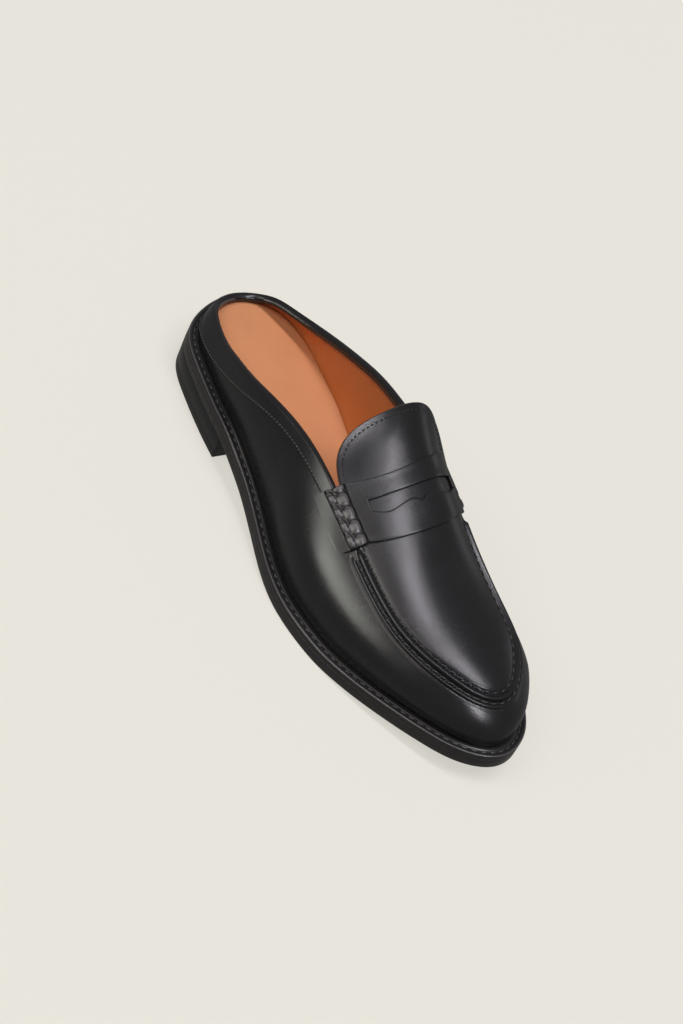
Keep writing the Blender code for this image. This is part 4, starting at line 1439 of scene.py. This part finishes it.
@dataclass
class Collar:
    """Binding folded over the top edge from one strap roll round the heel to the other."""

    last: Last
    finishes: Finishes
    columns: int = 380
    outer: float = 11.3 * MM
    inner: float = 2.6 * MM
    leather: float = 1.1 * MM
    wall: float = 1.8 * MM
    clear_of_welt: float = 1.2 * MM
    lateral_end: float = 161 * MM
    medial_end: float = 157 * MM
    narrows: float = 4.6 * MM
    rake: float = 0.45
    rake_fades: float = 14 * MM
    insole_step: float = 2.6 * MM
    row_above_edge: float = 1.1 * MM
    lining_row: float = 2.2 * MM
    pitch: float = 2.3 * MM
    top_row: int = 9
    highlight_rows: tuple[int, ...] = (16, 17)

    def places(self, count: int) -> Array:
        """Places from the medial end round the heel to the lateral end."""
        medial, lateral = self.last.edge_place(self.medial_end), self.last.edge_place(self.lateral_end)
        turns = np.linspace(-np.arccos(1 - 2 * medial), np.arccos(1 - 2 * lateral), count)
        return np.sign(turns) * (1 - np.cos(turns)) / 2

    def section(self) -> list[tuple[float, float, float]]:
        """The folded strip's outline.

        Returns:
            Share of the leg down (minus inside), offset outward and height above the edge.
        """
        near = 0.05 * MM
        far = near + self.leather
        half = (self.wall + 2 * far) / 2
        points = [(1.0, near, 0.0), (1.0, far * 0.55, 0.0), (0.985, far * 0.9, 0.0), (0.95, far, 0.0)]
        points += [(share, far, 0.0) for share in (0.8, 0.6, 0.4, 0.2, 0.08)]
        for turn in np.linspace(0, math.pi, 11):
            points.append((0.0, -self.wall / 2 + half * math.cos(turn), half * 0.62 * math.sin(turn)))
        points += [(-share, -self.wall - far, 0.0) for share in (0.2, 0.5, 0.8, 0.95)]
        points += [(-1.0, -self.wall - far * 0.6, 0.0), (-1.0, -self.wall - near, 0.0)]
        points += [(-0.05, -self.wall - near, 0.0), (0.0, -self.wall - near, near), (0.0, near, near)]
        return points + [(0.05, near, 0.0), (1.0, near, 0.0)]

    def legs(self, lengths: Array) -> tuple[Array, Array]:
        """How far the strip reaches down, a little less beside the rolls.

        Args:
            lengths: The wall's length at each place of the strip.

        Returns:
            The outer and the inner leg.
        """
        turn = np.abs(np.linspace(-1, 1, len(lengths)))
        ends = smooth_step((turn - 0.5) / 0.32)
        outer = np.minimum(self.outer - self.narrows * ends, lengths - self.clear_of_welt)
        return outer, np.minimum(self.inner, lengths - self.insole_step - self.clear_of_welt)

    def build(self) -> None:
        """Makes the binding and its row of stitches."""
        last, places = self.last, self.places(self.columns)
        outline = self.section()

        def distances(lengths: Array) -> Array:
            """Distances down the wall for each row of the outline."""
            outer, inner = self.legs(lengths)
            return np.array([down * outer if down > 0 else -down * inner for down, _, _ in outline])

        face, out = last.wall(places, distances)
        top, _ = last.wall(places, np.outer([0.0, 1.0 * MM], np.ones(self.columns)))
        rise = unit(top[0] - top[1])
        across = np.array([o for _, o, _ in outline])[:, None, None]
        above = np.array([a for _, _, a in outline])[:, None, None]
        points = self.raked(face, self.top_row) + out * across + rise[None] * above
        piece = loft("collar_binding_strip", points, last.centre)
        columns = points.shape[1] - 1
        # Painted highlight: a paler stripe along the rim's lateral half
        for polygon in piece.data.polygons:
            row, column = divmod(polygon.index, columns)
            if row in self.highlight_rows and column > columns / 2:
                polygon.material_index = 1
        weld(piece)
        close_ends(piece)
        finish(piece, [self.finishes.calf, self.finishes.painted_highlight], "black_calf", "collar_binding", angle=60)
        self.stitch()

    def raked(self, face: Array, top: int) -> Array:
        """Slants the strip's two ends, so that they run along the strap's rolls.

        Args:
            face: Rows by columns of points, the top edge among the rows.
            top: The number of that row.

        Returns:
            The points, moved along the strip.
        """
        along = unit(np.gradient(face, axis=1))
        run = np.concatenate([[0], np.cumsum(np.linalg.norm(np.diff(face[0], axis=0), axis=1))])
        down = np.linalg.norm(face - face[top : top + 1], axis=2)
        back = 1 - smooth_step(run / self.rake_fades)
        front = 1 - smooth_step((run[-1] - run) / self.rake_fades)
        return face + along * (down * self.rake * (back - front)[None, :])[..., None]

    def stitch(self) -> None:
        """One row of fine thread near the binding's lower edge, and one near its inner edge."""
        last, places = self.last, self.places(1400)
        face, out = last.wall(
            places, lambda length: np.array([0 * length, self.legs(length)[0] - self.row_above_edge]))
        proud = 0.05 * MM + self.leather
        run = even_run(self.raked(face, 0)[1] + out[1] * proud, out[1], self.pitch)
        thread = Stitch(self.pitch * 0.62, 0.6 * MM, 0.55 * MM, lean=0.1)
        finish(thread.sew("collar_thread", [run], last.centre), [self.finishes.fine_thread], "black_calf")
        middle = (run.points[1:] + run.points[:-1]) / 2
        hole = Stitch(0.6 * MM, 0.55 * MM, 0.25 * MM)
        holes = [Run(middle, run.along[1:], run.normals[1:])]
        finish(hole.sew("collar_needle_holes", holes, last.centre), [self.finishes.hole], "black_calf")
        face, out = last.wall(places, lambda length: (self.legs(length)[1] + self.lining_row)[None, :])
        inner = face[0] - out[0] * (self.wall + 0.02 * MM)
        run = even_run(inner, -out[0], self.pitch)
        dots = Stitch(self.pitch * 0.5, 0.4 * MM, 0.3 * MM)
        finish(dots.sew("lining_thread", [run], last.centre), [self.finishes.tan_thread], "tan_sock")


class Lobe(NamedTuple):
    """One row of a roll's lobes, as shares of its half width, and its lead along the roll."""

    centre: float
    half: float
    lead: float


@dataclass
class Saddle:
    """Saddle strap with its slot, and the two rolled ends with their tabs."""

    last: Last
    finishes: Finishes
    back: float = 158.7 * MM
    width: float = 30.6 * MM
    leather: float = 1.3 * MM
    lifted: float = 0.12 * MM
    back_bow: float = 7.4 * MM
    front_bow: float = 8.0 * MM
    slot_bow: float = 3.2 * MM
    skew: float = 8.7 * MM
    reach_in: float = 4.5 * MM
    reach_out: float = 11.3 * MM
    rake: float = 0.45
    roll_height: float = 3.4 * MM
    roll_width: float = 9.0 * MM
    lobes: tuple[Lobe, ...] = (Lobe(-0.42, 0.62, 0.0), Lobe(0.52, 0.48, 0.3))
    medial_low: float = 0.6
    medial_at: float = 4.8 * MM
    medial_width: float = 7.6 * MM
    medial_reach: float = 9.5 * MM
    pinch: float = 0.5
    groove_first: float = 0.11
    groove_step: float = 0.235
    wrap_radius: float = 0.28 * MM
    tab: float = 1.6 * MM
    tab_rounds_at: float = 7.8 * MM
    tab_corner: float = 3 * MM
    tab_corner_share: float = 0.15
    slot_half: float = 24.5 * MM
    slot_centre: float = -2.2 * MM
    slot_forward: float = -1.3 * MM
    slot_skew: float = 2.4 * MM
    slot_height: float = 8.0 * MM
    slot_at: float = 0.48
    back_rows: int = 8
    slot_rows: int = 8
    front_rows: int = 11
    past_slot: float = 6.5 * MM
    over_edge: float = 3 * MM
    bend_corner: float = 2.0
    bend_columns: int = 16
    slot_columns: int = 104
    lateral_columns: int = 14

    def edges(self, share: Array) -> tuple[Array, Array]:
        """Back and front edge of the strap.

        Args:
            share: Share of the way across, 0 at the lateral end.

        Returns:
            Places along the shoe of the back and of the front edge.
        """
        bow = 1 - (2 * share - 1) ** 2
        back = self.back - self.skew * share
        return back + self.back_bow * bow, back + self.width + self.front_bow * bow

    def rows(self, share: Array, across: Array) -> Array:
        """Places along the shoe of the strap's grid, the slot's two lips among its rows.

        Args:
            share: Share of the way across, one for each column.
            across: Place between the slot's ends, 1 at the lateral one and -1 at the medial one.

        Returns:
            Rows by columns.
        """
        back, front = self.edges(share)
        middle_back, middle_front = self.edges(np.array(0.5))
        slot_y = middle_back + (middle_front - middle_back) * self.slot_at + self.slot_forward
        bowed = slot_y - across**2 * self.slot_bow + across * self.slot_skew
        near = bowed - self.slot_height / 2
        far = bowed + read_rows(SLOT_LIP, "front", across) * self.slot_height
        rows = [back + (near - back) * s for s in np.linspace(0, 1, self.back_rows + 1)]
        rows += [near + (far - near) * s for s in np.linspace(0, 1, self.slot_rows + 1)[1:]]
        rows += [far + (front - far) * s for s in np.linspace(0, 1, self.front_rows + 1)[1:]]
        return np.array(rows)

    def bend(self, y: Array, start: Array) -> Array:
        """The strap's medial end, bent over the top edge and onto the side wall.

        Args:
            y: Place along the shoe of each row.
            start: The strap's top face where the bend starts, one point for each row.

        Returns:
            Rows by columns of points on the top face.
        """
        last = self.last
        proud = self.lifted + self.leather
        edge = read_branch(last.edge_medial, y)
        wall, out = last.wall(-last.edge_place(y), np.full((1, len(y)), self.over_edge))
        finish_at = wall[0] + out[0] * proud
        corner = edge + unit(last.instep_normal(edge[:, 0], y) + out[0]) * proud * self.bend_corner
        t = np.linspace(0, 1, self.bend_columns + 1)[1:][None, :, None]
        start, corner, finish_at = start[:, None], corner[:, None], finish_at[:, None]
        return (1 - t) ** 2 * start + 2 * (1 - t) * t * corner + t**2 * finish_at

    def strap(self) -> None:
        """The strap as a leather sheet over the apron, with the slot left open."""
        last = self.last
        clear = self.reach_in + last.seat_gap
        slot_ends = self.slot_centre + self.slot_half * np.array([1.0, -1.0])
        beside = np.linspace(1, 0, self.lateral_columns + 1)[:-1]
        over_slot = np.linspace(slot_ends[0], slot_ends[1], self.slot_columns + 1)
        lateral = read_branch(last.edge_lateral, np.array([self.back + self.width / 2]))[0, 0] - clear
        nominal = np.concatenate([slot_ends[0] + beside * (lateral - slot_ends[0]), over_slot])
        share = (lateral - nominal) / (lateral - slot_ends[1] + self.past_slot)
        across = np.clip((self.slot_centre - nominal) / -self.slot_half, -1, 1)
        y = self.rows(share, across)
        x = np.broadcast_to(nominal, y.shape).copy()
        room = read_branch(last.edge_lateral, y[:, : len(beside)])[..., 0] - clear - slot_ends[0]
        x[:, : len(beside)] = slot_ends[0] + beside * room
        proud = self.lifted + self.leather
        top = last.over_instep(x, y) + last.instep_normal(x, y) * proud
        turn = np.linspace(0, 1, self.bend_columns + 1)[1:]
        beyond = self.rows(share[-1] + (1 - share[-1]) * turn, np.full(len(turn), -1.0))
        bent = self.bend(y[:, -1], top[:, -1])
        bent[..., 1] += beyond - y[:, -1:]
        points = np.concatenate([top, bent], axis=1)
        piece = loft("saddle_strap_leather", points, last.centre)
        columns = points.shape[1] - 1
        gone = [
            row * columns + column
            for row in range(self.back_rows, self.back_rows + self.slot_rows)
            for column in range(self.lateral_columns, self.lateral_columns + self.slot_columns)
        ]
        remove_faces(piece, gone)
        face_up(piece, Vector((0, 0, 1)))
        thicken(piece, self.leather)
        round_edges(piece, 0.3 * MM, angle=50, segments=2)
        finish(piece, [self.finishes.calf], "black_calf", "saddle_strap", angle=50)

    def roll_path(self, side: Side, places: Array, inward: Array, outside: Array) -> tuple[Array, Array]:
        """Lines over the seam and down the wall.

        Args:
            side: The side of the shoe.
            places: Places along the shoe.
            inward: Distances over the apron, minus towards the middle.
            outside: Distances down the wall.

        Returns:
            Points and outward directions, distances by places by three.
        """
        last, sign = self.last, side.value
        path, out = [], []
        edge = read_branch(last.edge_lateral if side is Side.LATERAL else last.edge_medial, places)
        for reach in inward:
            x = edge[:, 0] + sign * reach
            path.append(last.over_instep(x, places))
            out.append(last.instep_normal(x, places))
        for reach in outside:
            at = sign * last.edge_place(places - self.rake * reach)
            point, normal = last.wall(at, np.full((1, len(places)), reach))
            mix = smooth_step(np.array(reach / (2 * MM)))
            path.append(point[0])
            top = last.instep_normal(edge[:, 0], places)
            out.append(unit(normal[0] * (0.5 + 0.5 * mix) + top * (0.5 - 0.5 * mix)))
        return np.array(path), np.array(out)

    def thickness(self, reach: Array, turn: Array, middle: float, width: float) -> Array:
        """Height of roll and tab over the leather below.

        Args:
            reach: Distance outward from the seam.
            turn: Share of the roll's length from its back end.
            middle: The reach of the roll's middle.
            width: The roll's width.

        Returns:
            The height at each reach and turn.
        """
        aside = (reach - middle) / (width / 2)
        height = np.zeros(np.broadcast_shapes(aside.shape, turn.shape))
        for lobe in self.lobes:
            hump = np.clip(1 - ((aside - lobe.centre) / lobe.half) ** 2, 0, 1)
            phase = (turn - self.groove_first) / self.groove_step + lobe.lead
            height = np.maximum(height, hump * (1 - self.pinch * np.abs(np.cos(math.pi * phase)) ** 4))
        ends = np.clip(np.minimum(turn, 1 - turn) / 0.05, 0, 1) ** 0.5
        low = self.medial_low if middle > 0 else 1.0
        return self.tab + height * low * (self.roll_height - self.tab) * (0.5 + 0.5 * ends)

    def roll(self, side: Side) -> None:
        """One rolled end with its tab, and the thread wrapped round it.

        Args:
            side: The side of the shoe.
        """
        last = self.last
        back = self.back - self.skew * (1 - side.value) / 2
        places = np.linspace(back, back + self.width, 161)
        if side is Side.LATERAL:
            middle, width, reach_out = 0.0, self.roll_width, self.reach_out
            inward = np.linspace(-self.reach_in, -0.2 * MM, 24)
            first = 0.2 * MM
        else:
            middle, width = self.over_edge + self.medial_at, self.medial_width
            reach_out = self.over_edge + self.medial_reach
            inward = np.array([])
            first = self.over_edge + 0.3 * MM
        outside = np.append(np.linspace(first, reach_out - 0.8 * MM, 42), reach_out)
        path, out = self.roll_path(side, places, inward, outside)
        reach = np.concatenate([inward, outside])[:, None]
        turn = np.linspace(0, 1, len(places))[None, :]
        thick = self.thickness(reach, turn, middle, width)
        corner = np.clip(1 - np.minimum(turn, 1 - turn) / self.tab_corner_share, 0, 1)
        rounds = reach_out - (self.reach_out - self.tab_rounds_at)
        rounded = np.clip((reach - rounds) / (reach_out - rounds), 0, 1)
        pull = rounded**2 * self.tab_corner * np.sign(turn - 0.5) * corner
        along = unit(np.gradient(path, axis=1))
        path = path - along * pull[..., None]
        over = path + out * (self.lifted + thick)[..., None]
        under = path + out * self.lifted
        name = f"strap_roll_leather_{side.name.lower()}"
        loops = np.concatenate([over, under[::-1], over[:1]], axis=0)
        piece = loft(name, loops, last.centre)
        # Painted highlight: the lobes' tops take the paler finish
        highlight_above = self.tab + 0.5 * (thick.max() - self.tab)
        for polygon in piece.data.polygons:
            row, column = divmod(polygon.index, len(places) - 1)
            if row < len(thick) and thick[row, column] > highlight_above:
                polygon.material_index = 1
        weld(piece)
        close_ends(piece)
        round_edges(piece, 0.4 * MM, angle=84, segments=3)
        finish(piece, [self.finishes.calf, self.finishes.painted_highlight], "black_calf",
               f"strap_roll_{side.name.lower()}", angle=80)
        inside = np.abs(reach[:, 0] - middle) < width / 2 - 0.4 * MM
        self.wraps(side, over, out, np.where(inside)[0], turn[0])

    def wraps(self, side: Side, over: Array, out: Array, rows: Array, turn: Array) -> None:
        """Thread laid across the roll in each groove, with the needle holes it goes into.

        Args:
            side: The side of the shoe.
            over: The roll's top face, rows by columns by three.
            out: Its outward directions.
            rows: The rows that the thread lies over.
            turn: Share of the roll's length at each column.
        """
        last = self.last
        grooves = [self.groove_first + i * self.groove_step for i in range(4)]
        columns = [int(round(g * (len(turn) - 1))) for g in grooves]
        points, faces = [], []
        sides, radius = 8, self.wrap_radius
        for column in columns:
            line = over[rows, column] - out[rows, column] * 0.05 * MM
            tangent = unit(np.gradient(line, axis=0))
            across = unit(np.cross(out[rows, column], tangent))
            for p, n, a in zip(line, out[rows, column], across):
                for k in range(sides):
                    turn_k = 2 * math.pi * k / sides
                    points.append(p + radius * (math.cos(turn_k) * n + math.sin(turn_k) * a))
            start = len(points) - sides * len(rows)
            for i in range(len(rows) - 1):
                first, second = start + i * sides, start + (i + 1) * sides
                for k in range(sides):
                    onward = (k + 1) % sides
                    faces.append((first + k, first + onward, second + onward, second + k))
            faces.append(tuple(start + k for k in range(sides))[::-1])
            faces.append(tuple(start + (len(rows) - 1) * sides + k for k in range(sides)))
        deselect()
        bpy.ops.mesh.primitive_cylinder_add(vertices=sides)
        piece = bpy.context.object
        piece.name = f"roll_thread_{side.name.lower()}"
        piece.matrix_world = Matrix.Identity(4)
        mesh = bpy.data.meshes.new(piece.name)
        mesh.from_pydata((np.array(points) - last.centre).tolist(), [], faces)
        old = piece.data
        piece.data = mesh
        bpy.data.meshes.remove(old)
        weld(piece)
        # Painted shade: the thread takes the needle holes' shadow finish, so the grooves that it lies in
        # read dark
        finish(piece, [self.finishes.hole], "black_calf")
        along = unit(over[0, np.array(columns) + 1] - over[0, np.array(columns) - 1])
        seat = over[0, columns] - out[0, columns] * (self.tab - self.leather)
        beside = unit(over[0, columns] - over[3, columns])
        ends = [Run(seat + beside * 0.9 * MM, along, out[0, columns])]
        hole = Stitch(3.2 * MM, 1.7 * MM, 0.3 * MM)
        finish(hole.sew(f"roll_needle_holes_{side.name.lower()}", ends, last.centre),
               [self.finishes.hole], "black_calf")

    def build(self) -> None:
        """Makes the strap and both rolls."""
        self.strap()
        for side in Side:
            self.roll(side)


class Crease(NamedTuple):
    """A soft trough in the tongue, in millimetres, and how it leans."""

    x: float
    y: float
    lean: float
    width: float
    deep: float
    length: float = 7.0


CREASES = (Crease(9, 152, 0.5, 3.2, 0.1), Crease(3, 147, 0.9, 3.4, 0.08), Crease(14, 158, 0.3, 3.2, 0.08))


@dataclass
class Tongue:
    """The apron's leather carried on behind the strap to a broad rounded end."""

    last: Last
    finishes: Finishes
    half_width: float = 32.4 * MM
    off_middle: float = -3.5 * MM
    squareness: float = 4.5
    blunt_share: float = 0.4
    skew: float = 2 * MM
    leather: float = 1.9 * MM
    row_inset: float = 2.4 * MM
    pitch: float = 2.5 * MM
    steps: int = 60
    across: int = 56

    def middle(self) -> float:
        """The tongue's middle line."""
        last = self.last
        halves = (last.edge_lateral, last.edge_medial)
        return sum(read_branch(half, last.throat)[0] for half in halves) / 2 + self.off_middle

    def outline(self, turn: Array, inset_by: float) -> tuple[Array, Array]:
        """Half width and place along of the outline.

        Args:
            turn: Angles from the throat (0) to the tongue's end (a quarter turn).
            inset_by: How far the outline is drawn in.

        Returns:
            Half widths and places along the shoe.
        """
        power = 2 / self.squareness
        length = self.last.tongue_length - inset_by
        half = (self.half_width - inset_by) * np.clip(np.cos(turn), 0, 1) ** power
        return half, self.last.throat - length * np.sin(turn) ** power

    def place(self, x: Array, y: Array) -> Array:
        """Points of the top face, with the tongue's skew.

        Args:
            x: Places across the shoe.
            y: Places along it.

        Returns:
            Points in space.
        """
        last = self.last
        behind = np.clip((last.throat - y) / last.tongue_length, 0, 1)
        y = y + behind * self.skew * (x - self.middle()) / self.half_width
        return last.over_instep(x, y)

    def build(self) -> None:
        """Makes the tongue and the stitches along its edge."""
        last = self.last
        fine = np.linspace(0, math.acos(self.blunt_share ** (self.squareness / 2)), 4000)
        half, y = self.outline(fine, 0.0)
        reach = np.concatenate([[0], np.cumsum(np.hypot(np.diff(half), np.diff(y)))])
        stops = np.linspace(0, reach[-1], self.steps + 1)
        half, y = np.interp(stops, reach, half), np.interp(stops, reach, y)
        x = self.middle() + half[:, None] * np.linspace(1, -1, self.across + 1)[None, :]
        points = self.place(x, np.broadcast_to(y[:, None], x.shape))
        points[..., 2] += self.creases(points[..., 0], points[..., 1])
        piece = loft("tongue_leather", points, last.centre)
        weld(piece)
        face_up(piece, Vector((0, 0, 1)))
        thicken(piece, self.leather, inner_slot=1)
        round_edges(piece, 0.45 * MM, angle=50, segments=3)
        finish(piece, [self.finishes.calf, self.finishes.lining], "black_calf", "tongue", angle=55)
        self.stitch()

    def creases(self, x: Array, y: Array) -> Array:
        """Soft troughs where the tongue bends against the strap.

        Args:
            x: Places across the shoe.
            y: Places along it.

        Returns:
            Heights to add, none above 0.
        """
        depth = np.zeros_like(x)
        for crease in CREASES:
            across = (y - crease.y * MM) - crease.lean * (x - crease.x * MM)
            along = (x - crease.x * MM) + crease.lean * (y - crease.y * MM)
            falls = (across / (crease.width * MM)) ** 2 + (along / (crease.length * MM)) ** 2
            depth += crease.deep * MM * np.exp(-falls)
        return -depth

    def stitch(self) -> None:
        """One row of stitches round the free edge."""
        last = self.last
        turn = np.linspace(0, math.pi / 2, 400)
        half, y = self.outline(turn, self.row_inset)
        keep = y < last.throat - 1 * MM
        half, y = half[keep], y[keep]
        x = self.middle() + np.concatenate([half, -half[::-1]])
        line = self.place(x, np.concatenate([y, y[::-1]]))
        normals = last.instep_normal(line[:, 0], line[:, 1])
        run = even_run(line, normals, self.pitch)
        thread = Stitch(self.pitch * 0.66, 1.0 * MM, 0.5 * MM, lean=0.1)
        # Painted shade: the stitches take the needle holes' shadow finish, so the row reads as a dark
        # line
        finish(thread.sew("tongue_thread", [run], last.centre), [self.finishes.hole], "black_calf")


@dataclass(frozen=True)
class Softbox:
    """One soft light: where it stands from the shoe, its size, power and tint."""

    name: str
    direction: tuple[float, float, float]
    distance: float
    size: tuple[float, float]
    power: float
    colour: str = "#ffffff"
    falls: Falls = Falls.ON_ALL

    def place(self, target: Vector) -> None:
        """Stands the light and aims it.

        Args:
            target: The point that it shines at and stands off from.
        """
        deselect()
        where = target + Vector(self.direction).normalized() * self.distance
        bpy.ops.object.light_add(type="AREA", location=where)
        lamp = bpy.context.object
        lamp.name = self.name
        lamp.data.shape = "RECTANGLE"
        lamp.data.size, lamp.data.size_y = self.size
        lamp.data.energy = self.power
        lamp.data.color = linear(self.colour)[:3]
        lamp.visible_diffuse = self.falls is Falls.ON_ALL
        lamp.rotation_euler = (target - where).to_track_quat("-Z", "Y").to_euler()


@dataclass
class Studio:
    """Pale floor, soft lights and the photograph's camera."""

    target: tuple[float, float, float] = (5.67 * MM, -1.1 * MM, 25.6 * MM)
    azimuth: float = 40.78
    elevation: float = 43.78
    roll: float = -28.58
    distance: float = 1494.2 * MM
    lens: float = 107.36
    floor_size: float = 12.0
    floor_colour: str = "#7a7974"
    floor_glow: str = "#e6e3da"
    floor_glow_strength: float = 0.74
    world_colour: str = "#f4f2ee"
    world_strength: float = 0.22
    lights: tuple[Softbox, ...] = (
        Softbox("overhead_softbox", (-0.06, 0.2, 1.0), 6.0, (0.8, 4.4), 240.0, "#fbf8ff"),
        Softbox("side_softbox", (0.97, -0.17, 0.2), 5.0, (2.2, 1.9), 118.0, "#fffff6", Falls.ON_SHEEN),
        Softbox("front_card", (0.12, 0.76, 0.64), 4.0, (1.1, 0.6), 80.0, "#fbf8ff", Falls.ON_SHEEN),
        Softbox("far_side_card", (-1.0, 0.06, 0.2), 5.0, (2.6, 0.7), 6.5, "#fbf8ff", Falls.ON_SHEEN),
        Softbox("opening_fill", (0.66, -0.1, 0.86), 5.0, (2.6, 2.6), 88.0, "#fffaf2"),
    )

    def floor(self) -> None:
        """A plain paper floor under the shoe, lit from behind as a light table is."""
        deselect()
        bpy.ops.mesh.primitive_grid_add(x_subdivisions=4, y_subdivisions=4, size=self.floor_size)
        floor = bpy.context.object
        floor.name = "paper_floor"
        paper = Plain("pale_studio_paper", self.floor_colour, self.floor_colour, 0.9, 3.0, 0.0).material()
        shader = paper.node_tree.nodes["Principled BSDF"]
        shader.inputs["Emission Color"].default_value = linear(self.floor_glow)
        shader.inputs["Emission Strength"].default_value = self.floor_glow_strength
        floor.data.materials.append(paper)
        floor.visible_glossy = False

    def world(self) -> None:
        """An even pale surround."""
        world = bpy.data.worlds.new("pale_surround")
        world.use_nodes = True
        background = world.node_tree.nodes["Background"]
        background.inputs["Color"].default_value = linear(self.world_colour)
        background.inputs["Strength"].default_value = self.world_strength
        bpy.context.scene.world = world

    def camera(self) -> None:
        """The photograph's camera, rolled as it was held."""
        az, el = math.radians(self.azimuth), math.radians(self.elevation)
        back = Vector((math.cos(el) * math.cos(az), math.cos(el) * math.sin(az), math.sin(el)))
        right = (-back).cross(Vector((0, 0, 1))).normalized()
        down = (-back).cross(right)
        roll = math.radians(self.roll)
        turned = math.cos(roll) * right + math.sin(roll) * down
        up = -(-math.sin(roll) * right + math.cos(roll) * down)
        deselect()
        bpy.ops.object.camera_add(location=Vector(self.target) + back * self.distance)
        camera = bpy.context.object
        camera.name = "photo_camera"
        camera.data.sensor_width = 36
        camera.data.lens = self.lens
        camera.rotation_euler = Matrix((turned, up, back)).transposed().to_euler()
        bpy.context.scene.camera = camera

    def build(self) -> None:
        """Sets the stage."""
        self.floor()
        self.world()
        for light in self.lights:
            light.place(Vector(self.target))
        self.camera()
        bpy.context.scene.view_settings.view_transform = "Standard"


def main() -> None:
    """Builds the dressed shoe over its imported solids."""
    logging.basicConfig(level=logging.INFO, format="%(name)s %(message)s")
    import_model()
    last = Last()
    finishes = Finishes()
    SoleUnit(last, finishes).build()
    Upper(last, finishes).build()
    Collar(last, finishes).build()
    Saddle(last, finishes).build()
    Tongue(last, finishes).build()
    Studio().build()


if __name__ == "__main__":
    main()
